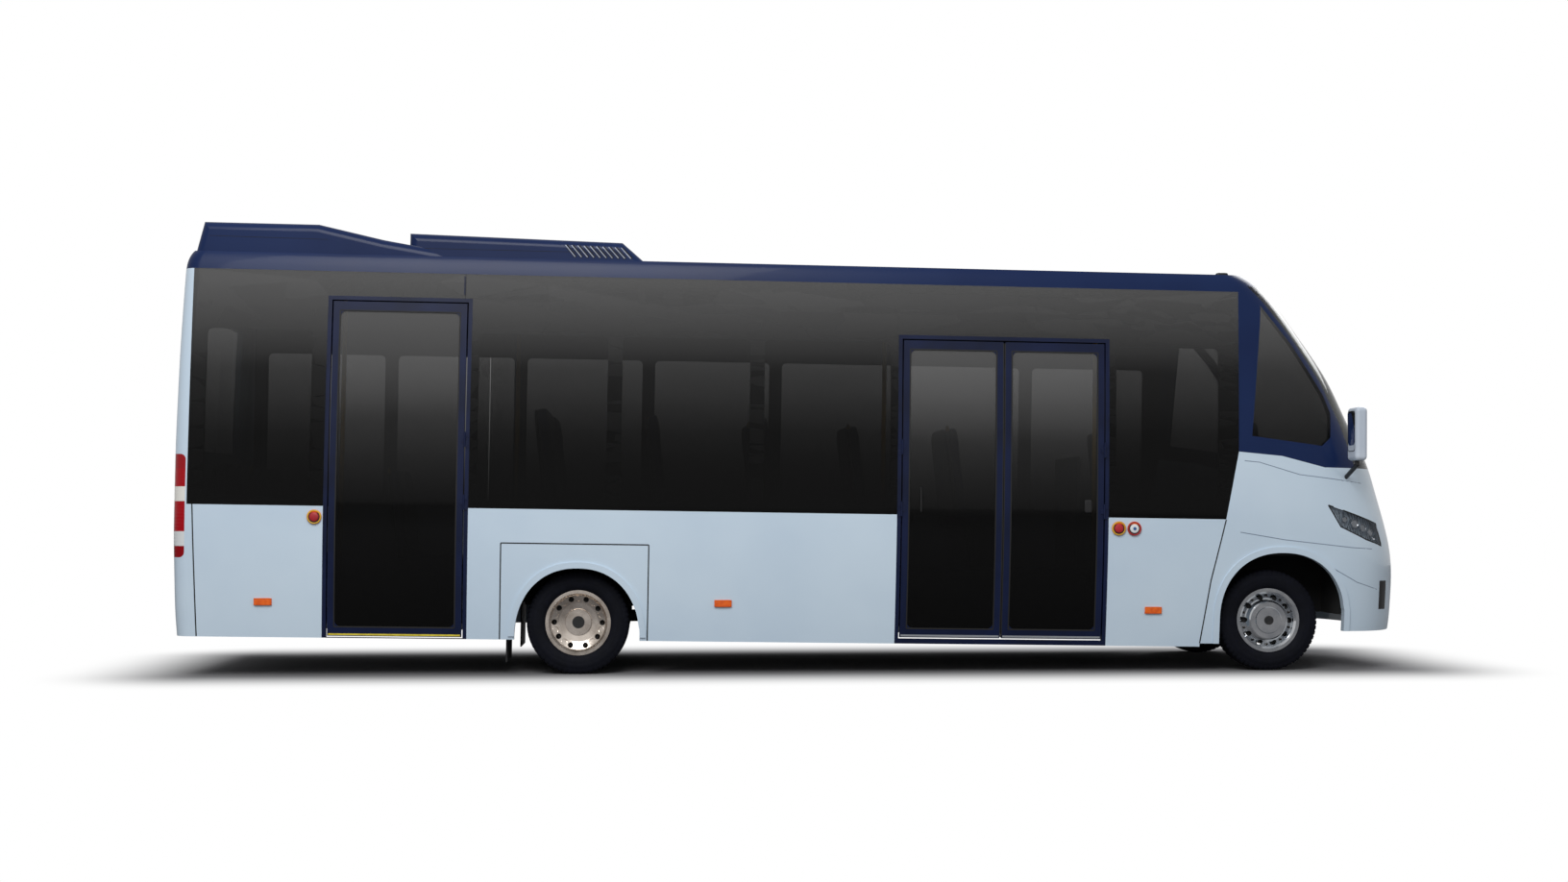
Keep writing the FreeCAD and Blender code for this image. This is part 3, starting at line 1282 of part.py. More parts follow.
def double_seat(station, plane, floor):
    """Two-place seat: its shell from the side view, and a pedestal on the floor."""
    length = S.seat_depth + S.seat_back
    height = S.seat_back_height + S.seat_cushion
    base = floor + S.seat_height - S.seat_cushion
    side = flat([(station + a_share * length, base + u_share * height) for a_share, u_share in SEAT_SHARES])
    shell = across(side, plane - S.seat_width / 2, plane + S.seat_width / 2)
    middle = station + length / 2
    leg = box(middle - S.seat_leg, middle + S.seat_leg, plane - S.seat_leg * 3, plane + S.seat_leg * 3,
              floor, base + S.seat_cushion / 2)
    return shell.fuse(leg)


SEAT_PLANE = S.seat_width / 2 + S.aisle_half_width
LEFT_START = S.rear_axle_station - S.rear_housing_half_length + S.seat_pitch / 4
LEFT_ROWS = [LEFT_START + number * S.seat_pitch for number in range(int(S.left_seat_rows))]
RIGHT_ROWS = [LEFT_START + number * S.seat_pitch for number in range(int(S.right_seat_rows))]
LOW_ROWS = [S.rear_door_station - S.seat_pitch, S.rear_door_station + S.seat_pitch / 3]
SEATS = [double_seat(station, SEAT_PLANE, S.rear_housing_top + HOUSING) for station in LEFT_ROWS[:1]]
SEATS += [double_seat(station, SEAT_PLANE, S.floor_height) for station in LEFT_ROWS[1:]]
SEATS += [double_seat(station, -SEAT_PLANE, S.rear_housing_top + HOUSING) for station in RIGHT_ROWS[:1]]
SEATS += [double_seat(station, -SEAT_PLANE, S.floor_height) for station in RIGHT_ROWS[1:]]
SEATS += [double_seat(station, SEAT_PLANE, S.low_floor_height) for station in LOW_ROWS]
SEATS += [double_seat(LOW_ROWS[0], -SEAT_PLANE, S.low_floor_height)]

# Driver's place: seat, dashboard, steering wheel and the partition behind
DRIVER_PLANE = S.driver_plane
DRIVER_FLOOR = S.floor_height
DRIVER_STATION = S.partition_station + S.seat_pitch / 3


def driver_seat():
    """Single seat with its own back, on a box."""
    length = S.seat_depth + S.seat_back
    height = S.seat_back_height + S.seat_cushion
    base = DRIVER_FLOOR + S.seat_height - S.seat_cushion
    side = flat([
        (DRIVER_STATION + along_share * length, base + up_share * height)
        for along_share, up_share in SEAT_SHARES
    ])
    half = S.seat_width / 4
    middle = DRIVER_STATION + length / 2
    plinth = box(middle - half, middle + half, DRIVER_PLANE - half * 3 / 4, DRIVER_PLANE + half * 3 / 4,
                 DRIVER_FLOOR, base + S.seat_cushion / 2)
    return across(side, DRIVER_PLANE - half, DRIVER_PLANE + half).fuse(plinth)


feature("seats", Part.Compound(SEATS + [driver_seat()]))
DASH_SHARES = [(0.0, 0.62), (0.10, 0.90), (0.55, 1.0), (1.0, 0.93), (1.0, 0.0), (0.35, 0.0), (0.22, 0.55)]
DASH_FACE = flat([
    (
        S.dash_station + a_share * S.dash_depth,
        S.floor_height + u_share * (S.dash_height - S.floor_height),
    )
    for a_share, u_share in DASH_SHARES
])
DASH_ROOM = INNER.common(box(
    S.dash_station, S.dash_station + S.dash_depth, -WIDE, WIDE, S.floor_height, TALL))
DASHBOARD = across(DASH_FACE, -WIDE, WIDE).common(DASH_ROOM).cut(Part.Compound(HOUSING_CUTS))
feature("dashboard", DASHBOARD)
WHEEL_CENTRE = Vector(
    S.dash_station - S.wheel_rim_radius / 3, DRIVER_PLANE, S.dash_height - S.floor_thickness)
WHEEL_AXIS = Vector(-math.sin(math.radians(S.wheel_lean)), 0, math.cos(math.radians(S.wheel_lean)))
steering_rim = Part.makeTorus(S.wheel_rim_radius, S.wheel_rim_section, WHEEL_CENTRE, WHEEL_AXIS)
column = rod(WHEEL_CENTRE, WHEEL_CENTRE - WHEEL_AXIS * (S.wheel_rim_radius * 5 / 4), S.wheel_rim_section * 2)
SPOKE_AHEAD = Vector(WHEEL_AXIS.z, 0, -WHEEL_AXIS.x)
SPOKES = [
    rod(WHEEL_CENTRE, WHEEL_CENTRE + direction * S.wheel_rim_radius, S.wheel_rim_section * 4 / 5)
    for direction in (SPOKE_AHEAD * -1, Vector(0, 1, 0), Vector(0, -1, 0))
]
feature("steering_wheel", steering_rim.fuse([column] + SPOKES).cut(DASHBOARD))
feature("driver_partition", box(
    S.partition_station, S.partition_station + S.sheet_thickness,
    S.aisle_half_width, S.partition_outer_plane, S.floor_height, S.partition_height))

# Handrails: poles from floor to ceiling and rails under the ceiling, as round bars
POLE_PLANE = S.aisle_half_width + S.rail_post_radius
CEILING = S.hull_top - S.roof_crown_drop - S.roof_thickness
POLES = [
    (WELL[0] - S.overrun, WELL_PLANE + S.overrun, S.floor_height),
    (WELL[1] + S.overrun, WELL_PLANE + S.overrun, S.floor_height),
    (S.low_floor_nose_station + S.overrun * 2, -POLE_PLANE, S.floor_height),
    (S.rear_door_station - S.overrun, -POLE_PLANE, S.low_floor_height),
]
POLE_RODS = [
    rod(Vector(station, plane, floor), Vector(station, plane, CEILING + S.rail_post_radius),
        S.rail_post_radius)
    for station, plane, floor in POLES
]
POLE_SOLIDS = [pole.common(INNER) for pole in POLE_RODS]
feature("handrails", Part.Compound(POLE_SOLIDS))

# Mirrors on their arms from the foot of each windscreen pillar
MIRROR_HEAD = S.mirror_foot + S.mirror_height
SHELL = Part.makeBox(S.mirror_depth, S.mirror_width, S.mirror_height)
SHELL = SHELL.makeFillet(S.mirror_depth / 3, SHELL.Edges)
SHELL = SHELL.translated(Vector(
    S.mirror_station - S.mirror_depth / 2, S.mirror_plane - S.mirror_width / 2, S.mirror_foot))
ARM_FOOT = Vector(S.screen_foot_station - S.mirror_width / 2, 0, S.mask_dip_height - S.mirror_depth)
ARM_KNEE = Vector(S.mirror_station, S.mirror_plane, S.mirror_foot - S.mirror_depth / 3)
ARM_START = Vector(ARM_FOOT.x, S.body_half_width - S.mirror_depth, ARM_FOOT.z)
ARM = rod(ARM_START, ARM_KNEE, S.mirror_arm_radius)
ARM = ARM.fuse([
    rod(ARM_KNEE, ARM_KNEE + Vector(0, 0, S.mirror_height / 3), S.mirror_arm_radius),
    Part.makeSphere(S.mirror_arm_radius, ARM_KNEE),
]).cut(OUTER)
MIRROR = SHELL.fuse(ARM)
feature("mirrors", Part.Compound([MIRROR, mirrored(MIRROR)]))

# Mudflaps behind the rear wheels
FLAP_FACE = REAR_AXLE - S.rear_housing_half_length - HOUSING
FLAP = box(FLAP_FACE - S.flap_thickness, FLAP_FACE, -S.rear_wheel_plane - HALF_TYRE,
           -S.rear_wheel_plane - HALF_TYRE + S.flap_width, S.flap_foot, S.flap_head)
feature("mudflaps", Part.Compound([FLAP, mirrored(FLAP)]))

# The body stands on its tyres, turned nose-down, with the middle of its length at the origin
LEAN = Rotation(Vector(0, 1, 0), S.ride_rake)
ENDS = [REAR_PANEL, MASK]
REACH_ENDS = []
for end in ENDS:
    turned = end.copy()
    turned.Placement = Placement(Vector(), LEAN)
    room = turned.optimalBoundingBox(False, False)
    REACH_ENDS += [room.XMin, room.XMax]
STANCE = Placement(Vector(-(min(REACH_ENDS) + max(REACH_ENDS)) / 2, 0, 0), LEAN)
doc.recompute()
for item in NODES:
    item.Placement = STANCE.multiply(item.Placement)
doc.recompute()
failed = [item.Label for item in doc.Objects if {"Invalid", "Error"} & set(item.State)]
failed += [
    item.Label for item in NODES
    if item.Shape.isNull() or not item.Shape.isValid() or not item.Shape.Solids
]
if failed:
    raise RuntimeError("failed sub-parts: " + ", ".join(failed))
os.makedirs("parts", exist_ok=True)
for item in NODES:
    item.Shape.exportStep("parts/" + item.Label + ".step")
print(f"{len(NODES)} sub-parts, stance {STANCE.Base.x:.3f}")
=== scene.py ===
from math import cos, pi, radians, sin

import bmesh
import bpy
import numpy as np
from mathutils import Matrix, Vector
from mathutils.bvhtree import BVHTree


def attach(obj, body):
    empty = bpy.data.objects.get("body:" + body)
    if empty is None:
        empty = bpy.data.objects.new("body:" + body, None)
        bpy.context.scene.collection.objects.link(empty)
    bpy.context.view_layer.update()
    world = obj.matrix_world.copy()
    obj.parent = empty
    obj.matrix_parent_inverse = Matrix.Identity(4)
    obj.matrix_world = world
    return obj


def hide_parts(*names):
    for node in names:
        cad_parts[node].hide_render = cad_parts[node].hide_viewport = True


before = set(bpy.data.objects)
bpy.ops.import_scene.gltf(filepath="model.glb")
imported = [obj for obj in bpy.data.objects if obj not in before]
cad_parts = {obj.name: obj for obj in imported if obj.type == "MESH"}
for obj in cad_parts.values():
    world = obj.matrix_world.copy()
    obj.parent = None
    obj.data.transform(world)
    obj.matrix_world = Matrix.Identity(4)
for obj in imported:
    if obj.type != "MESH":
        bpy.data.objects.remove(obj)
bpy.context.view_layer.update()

# The view: a long lens square to the bus's door side, from 15 m away, at about the height of a seated
# driver's hands, turned a little towards the nose. Figures come from fitting tyres, doors and skirt to the
# photograph.
FOCAL_PIXELS = 2000
IMAGE_WIDTH = 1632
SENSOR_MM = 36
CAMERA_PLACE = (-1.1697, -15.0325, 1.1804)
CAMERA_TURN = radians(3.949)
CAMERA_LIFT = radians(2.093)
lens = bpy.data.cameras.new("side_view")
lens.sensor_width = SENSOR_MM
lens.lens = FOCAL_PIXELS / IMAGE_WIDTH * SENSOR_MM
camera = bpy.data.objects.new("side_view", lens)
camera.location = CAMERA_PLACE
camera.rotation_euler = (pi / 2 + CAMERA_LIFT, 0, -CAMERA_TURN)
bpy.context.scene.collection.objects.link(camera)
bpy.context.scene.camera = camera
bpy.context.scene.view_settings.view_transform = "Standard"

# Outer skin of the lower body: sheet steel and moulded plastic panels, sprayed white under a clear lacquer.
# They are the frame's own panels. The lacquer gives a sharp gloss over the slight orange peel of the sprayed
# colour. The white is tinted pale blue: the blue is a painted reflection of the sky.
MM = 0.001
ORANGE_PEEL_MM = 14
SHADE_PATCH_MM = 900


def linear(code):
    """Linear colour of an sRGB hex code: c / 12.92 up to 0.04045, ((c + 0.055) / 1.055) ** 2.4 above it."""
    parts = np.array([int(code[start:start + 2], 16) for start in (1, 3, 5)]) / 255
    bright = ((parts + 0.055) / 1.055) ** 2.4
    return (*np.where(parts <= 0.04045, parts / 12.92, bright).tolist(), 1.0)


def add_node(tree, kind, values={}, links={}, **settings):
    """A node of one kind with its settings, its sockets' values, and links from earlier nodes' outputs."""
    made = tree.nodes.new("ShaderNode" + kind)
    for name, value in settings.items():
        setattr(made, name, value)
    for socket, value in values.items():
        made.inputs[socket].default_value = value
    for socket, output in links.items():
        tree.links.new(output, made.inputs[socket])
    return made


def tinted(tree, shader, factor, stops, socket="Base Color", smooth=True):
    """One of the shader's sockets runs through (place, hex) stops along a factor."""
    ramp = add_node(tree, "ValToRGB", links={"Fac": factor})
    ramp.color_ramp.interpolation = "LINEAR" if smooth else "CONSTANT"
    while len(ramp.color_ramp.elements) < len(stops):
        ramp.color_ramp.elements.new(0.5)
    for element, (place, code) in zip(ramp.color_ramp.elements, stops):
        element.position = place
        element.color = linear(code)
    tree.links.new(ramp.outputs["Color"], shader.inputs[socket])


def start_material(name, colour, values):
    """Material with one Principled shader, its plain colour and its sockets' values."""
    made = bpy.data.materials.new(name)
    made.use_nodes = True
    shader = made.node_tree.nodes["Principled BSDF"]
    shader.inputs["Base Color"].default_value = linear(colour)
    for socket, value in values.items():
        shader.inputs[socket].default_value = value
    made.diffuse_color = linear(colour)
    return made, made.node_tree, shader


def object_place(tree):
    """Object coordinates, which are the bus's own metres on every piece."""
    return add_node(tree, "TexCoord").outputs["Object"]


def noise(tree, size_mm, detail=3.0, place=None):
    """Noise whose patches are about size_mm across."""
    return add_node(tree, "TexNoise", {"Scale": 1000 / size_mm, "Detail": detail},
                    {"Vector": place or object_place(tree)}).outputs["Fac"]


def bump(tree, shader, height, strength, depth_mm):
    """Bump of a height pattern, depth_mm from its lowest to its highest place."""
    made = add_node(tree, "Bump", {"Strength": strength, "Distance": depth_mm * MM}, {"Height": height})
    tree.links.new(made.outputs["Normal"], shader.inputs["Normal"])


def mottled(tree, shader, light, dark, size_mm):
    """Colour that wanders between two close shades in patches."""
    tinted(tree, shader, noise(tree, size_mm), [(0.35, dark), (0.65, light)])


def rough_between(tree, shader, low, high, size_mm):
    """Roughness that wanders between two values in patches, as handled and weathered surfaces do."""
    spread = add_node(tree, "MapRange", {"To Min": low, "To Max": high}, {"Value": noise(tree, size_mm)})
    tree.links.new(spread.outputs["Result"], shader.inputs["Roughness"])


def surfaced(name, light, dark, patch_mm, rough, rough_patch_mm, grain_mm, relief, values):
    """Material mottled in patches, its roughness wandering between two values in other patches, with a fine
    grain. The relief is the grain's strength and its depth in mm."""
    made, tree, shader = start_material(name, light, values)
    mottled(tree, shader, light, dark, patch_mm)
    rough_between(tree, shader, *rough, rough_patch_mm)
    bump(tree, shader, noise(tree, grain_mm), *relief)
    return made


def lacquered(name, light, dark, coat, index):
    """Car paint: a mottled colour coat with orange peel, under clear lacquer of a weight and an index."""
    return surfaced(name, light, dark, SHADE_PATCH_MM, (0.28, 0.38), SHADE_PATCH_MM / 2, ORANGE_PEEL_MM,
                    (0.05, 0.4), {"Coat Weight": coat, "Coat Roughness": 0.05, "IOR": index})


def cover(material, *names):
    """Give frame nodes a finish."""
    for name in names:
        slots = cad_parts[name].data.materials
        slots.clear()
        slots.append(material)


# This white's pale blue tint is a painted reflection of the sky, not the paint's own colour.
white_paint_with_painted_sky = lacquered("white_car_paint_painted_sky_tint", "#CBDCEA", "#C3D5E5", 0.6, 1.45)
cover(white_paint_with_painted_sky, "side_walls", "arch_panels", "arch_flares", "rear_wall", "rear_bumper", "front_mask")

# Roof, windscreen pillars, roof fairing and cooling unit: the same sprayed lacquer in navy. Roof edges catch
# the light along their crown, which the smooth lacquer shows.
navy_lacquer = lacquered("navy_car_lacquer", "#13264F", "#102148", 0.06, 1.25)
cover(navy_lacquer, "roof", "cab_frame", "roof_fairing", "air_conditioner")

# Door leaves and their surrounds: aluminium frames, powder coated in dark navy. Powder coat is duller than
# lacquer and has a fine grain, drawn at 6 mm so that it shows.
POWDER_GRAIN_MM = 6
navy_powder = surfaced("navy_powder_coat", "#101B3C", "#0C152F", 300, (0.34, 0.46), 120, POWDER_GRAIN_MM,
                       (0.08, 0.3), {"IOR": 1.3})
cover(navy_powder, "rear_door", "front_door_aft", "front_door_fore", "door_portals")

# Window structure behind the flush glass, and the grille: black painted steel and moulded ABS, satin.
black_abs = surfaced("black_abs", "#0E0E10", "#08080A", 200, (0.42, 0.6), 90, 5, (0.06, 0.3), {"IOR": 1.5})
cover(black_abs, "window_frames", "grille")

# Glass, bonded flush over the window frames: dark privacy glass, darker and less clear towards the belt and
# lightening towards its head in a painted reflection of the sky, and a clearer laminated windscreen with a
# navy band at its head. The low IOR keeps the pale studio's mirror image as weak as the photograph's, where
# the glass faces dark ground.
BELT_Z = 1.15
GLASS_HEAD_Z = 2.85
DOOR_FOOT_Z = 0.3
SCREEN_FOOT_Z, SCREEN_HEAD_Z = 1.5, 2.9


def height_share(tree, low, high):
    """0 at the height low, 1 at the height high, straight between."""
    parts = add_node(tree, "SeparateXYZ", links={"Vector": object_place(tree)})
    share = add_node(tree, "MapRange", {"From Min": low, "From Max": high}, {"Value": parts.outputs["Z"]})
    return share.outputs[0]


def dark_glass_painted_sky_reflection(name, low, high, tint_and_reflection_stops, covers):
    """Dark glass whose tint and cover follow the height; the tint's lighter grey towards the head is a painted
    reflection of the sky. Both are lists of (place, value) stops.
    """
    made, tree, shader = start_material(name, tint_and_reflection_stops[0][1], {"Roughness": 0.04, "IOR": 1.2})
    share = height_share(tree, low, high)
    tinted(tree, shader, share, tint_and_reflection_stops)
    tinted(tree, shader, share, covers, "Alpha")
    bump(tree, shader, noise(tree, 1200, 1.0), 0.03, 1.5)
    return made


# Side, rear and door glass: the lighter greys towards the head of each tint are a painted sky reflection.
cover(dark_glass_painted_sky_reflection(
    "dark_glass_painted_sky_reflection", BELT_Z, GLASS_HEAD_Z,
    [(0.0, "#0B0B0B"), (0.35, "#101010"), (0.62, "#262626"), (1.0, "#6A6A6A")],
    [(0.0, "#FCFCFC"), (0.2, "#ECECEC"), (0.33, "#E1E1E1"), (0.47, "#D8D8D8"), (0.62, "#CECECE"),
     (1.0, "#C6C6C6")]), "side_glass", "rear_glass")
for word, head, panes in (("rear", 2.65, ["rear_door_glass"]),
                          ("front", 2.4, ["front_door_aft_glass", "front_door_fore_glass"])):
    cover(dark_glass_painted_sky_reflection(
        word + "_door_privacy_glass", DOOR_FOOT_Z, head,
        [(0.0, "#0B0B0B"), (0.4, "#101010"), (0.66, "#2C2C2C"), (1.0, "#6E6E6E")],
        [(0.0, "#FDFDFD"), (0.4, "#EFEFEF"), (0.6, "#D4D4D4"), (0.75, "#C6C6C6"), (1.0, "#BEBEBE")]), *panes)
screen_glass, tree, shader = start_material(
    "laminated_screen_glass", "#1C2526", {"Roughness": 0.03, "IOR": 1.35, "Alpha": 0.62})
tinted(tree, shader, height_share(tree, SCREEN_FOOT_Z, SCREEN_HEAD_Z),
       [(0.0, "#151B1D"), (0.78, "#1C2526"), (0.86, "#0C1424")])
bump(tree, shader, noise(tree, 1500, 1.0), 0.006, 1.0)
cover(screen_glass, "windscreen")

# Panel seams: shadow lines where the panels meet, filled with black sealant. Each is a narrow flat bead laid
# along its line on the outer skin: round the arch panels, down the rear corners and down the back edge of the
# nose moulding.
RAKE = radians(0.85)
MIDDLE_MM = -12.487
SEAM_WIDTH = 9.0
BEAD_PROUD = 0.8
BEAD_DEPTH = 3.0
REACH = 2.0


def in_bus(points):
    """Places given in the level body's millimetres, x forward, turned nose-down by the rake, in metres."""
    points = np.asarray(points, float)
    along = points[..., 0] * cos(RAKE) + points[..., 2] * sin(RAKE) + MIDDLE_MM
    up = points[..., 2] * cos(RAKE) - points[..., 0] * sin(RAKE)
    return np.stack([along, points[..., 1], up], -1) * MM


def put_mesh(name, vertices, faces, material, body, sharp):
    """Mesh object from vertices and faces, its faces turned outwards, smooth up to the sharp angle."""
    mesh = bpy.data.meshes.new(name)
    mesh.from_pydata(vertices, [], faces)
    shell = bmesh.new()
    shell.from_mesh(mesh)
    bmesh.ops.recalc_face_normals(shell, faces=shell.faces)
    shell.to_mesh(mesh)
    shell.free()
    mesh.shade_smooth()
    mesh.set_sharp_from_angle(angle=radians(sharp))
    mesh.materials.append(material)
    made = bpy.data.objects.new(name, mesh)
    bpy.context.scene.collection.objects.link(made)
    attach(made, body)
    return made


def shells(name, stacks, material, body, looped=False, sharp=32):
    """Closed shells, each from a stack of rings: an (N, M, 3) array in metres. Its ends are closed by fans to
    their middles, or its last ring is joined to its first when looped."""
    vertices = []
    faces = []
    count = 0
    for stack in stacks:
        stack = np.asarray(stack, float)
        rings, places = stack.shape[:2]
        index = np.arange(rings * places).reshape(rings, places) + count
        above = np.roll(index, -1, 0) if looped else index[1:]
        below = index if looped else index[:-1]
        quads = np.stack([below, np.roll(below, -1, 1), np.roll(above, -1, 1), above], -1).reshape(-1, 4)
        faces += quads.tolist()
        vertices.append(stack.reshape(-1, 3))
        count += rings * places
        if not looped:
            vertices.append(np.stack([stack[0].mean(0), stack[-1].mean(0)]))
            for ring, middle in ((index[0], count), (index[-1], count + 1)):
                fan = np.stack([ring, np.roll(ring, -1), np.full(places, middle)], -1)
                faces += fan.tolist()
            count += 2
    return put_mesh(name, np.concatenate(vertices).tolist(), faces, material, body, sharp)


def skin(*names):
    """Search trees of the outer surface of frame nodes."""
    graph = bpy.context.evaluated_depsgraph_get()
    return [BVHTree.FromObject(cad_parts[name], graph) for name in names]


def nearest_hit(trees, start, heading):
    """First point where a ray meets any of the trees."""
    hits = [tree.ray_cast(Vector(start), Vector(heading), 2 * REACH)[0] for tree in trees]
    hits = [hit for hit in hits if hit is not None]
    return np.array(min(hits, key=lambda hit: (hit - Vector(start)).length)) if hits else None


def line_on_side(trees, points, side, step=60):
    """Points along a line given in the level body's x and z, laid on one side's skin (-1 right, 1 left)."""
    points = np.asarray(points, float)
    runs = np.linalg.norm(np.diff(points, axis=0), axis=1)
    stops = np.concatenate([[0], np.cumsum(runs)])
    places = np.unique(np.concatenate([stops, np.arange(0, stops[-1], step)]))
    flat = np.stack([np.interp(places, stops, points[:, axis]) for axis in (0, 1)], -1)
    aim = in_bus(np.stack([flat[:, 0], np.full(len(flat), side * REACH / MM), flat[:, 1]], -1))
    hits = [nearest_hit(trees, start, (0, -side, 0)) for start in aim]
    return np.array([hit for hit in hits if hit is not None])


def bead(path, outward, width, proud, depth):
    """Flat bead along a path: at each point four corners, half the width to each side of the path across its
    own direction, standing proud of the skin outwards and sunk by depth inwards."""
    path = np.asarray(path)
    outward = np.broadcast_to(np.asarray(outward, float), path.shape)
    ahead = np.gradient(path, axis=0)
    aside = np.cross(outward, ahead)
    aside /= np.linalg.norm(aside, axis=1)[:, None]
    corners = [(-1, -depth), (-1, proud), (1, proud), (1, -depth)]
    return np.stack([path + aside * half * width / 2 * MM + outward * lift * MM for half, lift in corners], 1)


def strips(trees, lines, shape, step=60, sides=(-1, 1)):
    """Beads of one shape (width, proud and depth) along lines in the level body's x and z, on the sides."""
    paths = [(line_on_side(trees, line, side, step), side) for side in sides for line in lines]
    return [bead(path, (0, side, 0), *shape) for path, side in paths]


sealant, tree, shader = start_material("black_sealant", "#050608", {"Roughness": 0.7})
mottled(tree, shader, "#08090C", "#040506", 60)
bump(tree, shader, noise(tree, 4), 0.2, 0.4)
outer_skin = skin("side_walls", "arch_panels", "arch_flares", "rear_wall", "rear_bumper", "front_mask",
                  "side_glass", "door_portals", "rear_door", "front_door_aft", "front_door_fore")
ARCH_PANEL = [(-2247, 228), (-2247, 920), (-1188, 920), (-1188, 228)]
REAR_SEAM = [(-4424, 1166), (-4387, 228)]
NOSE_SEAM = [(3045, 1163), (2941, 716), (2871, 252)]
SEAM_LINES = [ARCH_PANEL[:2], ARCH_PANEL[1:3], ARCH_PANEL[2:], REAR_SEAM, NOSE_SEAM]
shells("panel_seams", strips(outer_skin, SEAM_LINES, (SEAM_WIDTH, BEAD_PROUD, BEAD_DEPTH)), sealant,
       "bus_body")

# Pressed lines in the nose moulding: two long feature lines above the arch and one that falls to the bumper.
# They are folds in the plastic, shown as fine raised ribs in the grey of the folds' own shadow.
FOLDS = [
    [(3180, 1600), (3291, 1591), (3595, 1504), (4103, 1448)],
    [(3152, 1073), (3493, 1021), (4002, 971), (4180, 962)],
    [(3862, 813), (4048, 715), (4233, 661)],
]
fold_shade, tree, shader = start_material("fold_shadow_lacquer", "#8C9CB0", {"Roughness": 0.5})
mottled(tree, shader, "#8492A5", "#768598", 300)
shells("nose_fold_lines", strips(outer_skin, FOLDS, (6.0, 0.6, BEAD_DEPTH), 40), fold_shade, "bus_body")

# Door rubbers: black EPDM seals round each pane, and the two finger guards that close the gap between the
# front leaves. They are pushed onto the aluminium frames and stand a little proud of them.
epdm, tree, shader = start_material("epdm_rubber", "#0A0A0B", {"IOR": 1.5})
rough_between(tree, shader, 0.55, 0.75, 40)
bump(tree, shader, noise(tree, 3), 0.15, 0.3)
DOORS = {"rear_door": (-3470, -2521, 240, 2636), "front_door_aft": (646, 1380, 272, 2440),
         "front_door_fore": (1396, 2130, 272, 2440)}
POST_INSET, RAIL_INSET = 48, 66
SEAL_SHAPE = (9.0, 1.2, 6.0)
GUARDS = {"front_door_aft": (1377.5, 5), "front_door_fore": (1398.5, -5)}
GUARD_FOOT, GUARD_HEAD = 280, 2430
for door, (rear, front, foot, head) in DOORS.items():
    rear, front, foot, head = rear + POST_INSET, front - POST_INSET, foot + RAIL_INSET, head - RAIL_INSET
    corners = [(rear, foot), (rear, head), (front, head), (front, foot), (rear, foot)]
    seals = strips(skin(door, door + "_glass"), list(zip(corners, corners[1:])), SEAL_SHAPE, 120, [-1])
    shells(door + "_pane_seal", seals, epdm, door + "_body")
for door, (station, reach_in) in GUARDS.items():
    path = line_on_side(skin(door), [(station, GUARD_FOOT), (station, GUARD_HEAD)], -1, 120)
    path[:, 0] += reach_in * MM
    shells(door + "_finger_guard", [bead(path, (0, -1, 0), 7.0, 0.5, 20.0)], epdm, door + "_body")

# Rear step edge: a yellow strip along the foot of the rear door, and the brushed aluminium sill under the
# front leaves, both pressed onto the leaf's lower rail.
yellow_strip, tree, shader = start_material("yellow_pvc", "#D9C436", {"Roughness": 0.45})
mottled(tree, shader, "#DECA40", "#C8B22C", 40)
STEP_EDGE = [(-3462, 252), (-2529, 252)]
shells("rear_door_step_edge", strips(skin("rear_door"), [STEP_EDGE], (12.0, 1.0, 3.0), sides=[-1]),
       yellow_strip, "rear_door_body")
BRUSH_MM = 3
brushed_sill, tree, shader = start_material("brushed_aluminium", "#B9BEC4", {"Metallic": 1.0})
lines = add_node(tree, "Mapping", {"Scale": (0.02, 1.0, 1.0)}, {"Vector": object_place(tree)})
spread = add_node(tree, "MapRange", {"To Min": 0.25, "To Max": 0.45},
                  {"Value": noise(tree, BRUSH_MM, 2.0, lines.outputs["Vector"])})
tree.links.new(spread.outputs["Result"], shader.inputs["Roughness"])
for door in ("front_door_aft", "front_door_fore"):
    rear, front, foot, head = DOORS[door]
    line = [(rear + 6, foot + 14), (front - 6, foot + 14)]
    shells(door + "_sill_strip", strips(skin(door), [line], (14.0, 1.0, 3.0), sides=[-1]), brushed_sill,
           door + "_body")

# Tyres: 372 mm radius, 222 mm wide, moulded in black rubber with three straight grooves, blocks cut into both
# shoulders, and fine raised rings on the walls. Each is one loop of sections round the axle; twins make one
# piece.
REAR_AXLE, FRONT_AXLE = -1690, 3410
WHEEL_RADIUS, BEAD_RADIUS, HALF_TYRE = 372, 203, 111
FRONT_PLANE, OUTER_TWIN, INNER_TWIN = 905, 900, 648
WALL_SHARES = [(0.73, 0.0), (0.755, 0.08), (0.77, 0.17), (0.83, 0.22), (0.885, 0.27), (0.90, 0.28),
               (0.95, 0.35), (0.985, 0.43), (1.0, 0.52), (0.995, 0.55), (1.0, 0.56), (0.99, 0.65),
               (0.965, 0.74), (0.95, 0.755), (0.945, 0.80), (0.90, 0.89), (0.855, 0.945)]
GROOVES = (-0.42, 0.0, 0.42)
GROOVE_HALF, GROOVE_MOUTH = 0.045, 0.045 * 1.3
TREAD_SHARE, SHOULDER_SHARE = 0.80, 0.62
CROWN_DROP, CROWN_POWER = 4.0, 2.5
GROOVE_DEPTH, NOTCH_DEPTH = 9.0, 7.2
NOTCH_SHARE, NOTCH_RADIUS = 0.6, 352
SHOULDER_BLOCKS = 60
SECTIONS_PER_BLOCK = 5


def wheel_centre(station, plane, side):
    """Middle of a wheel: on the axle's station, its radius above the ground."""
    height = (WHEEL_RADIUS + station * sin(RAKE)) / cos(RAKE)
    return in_bus((station, side * plane, height))


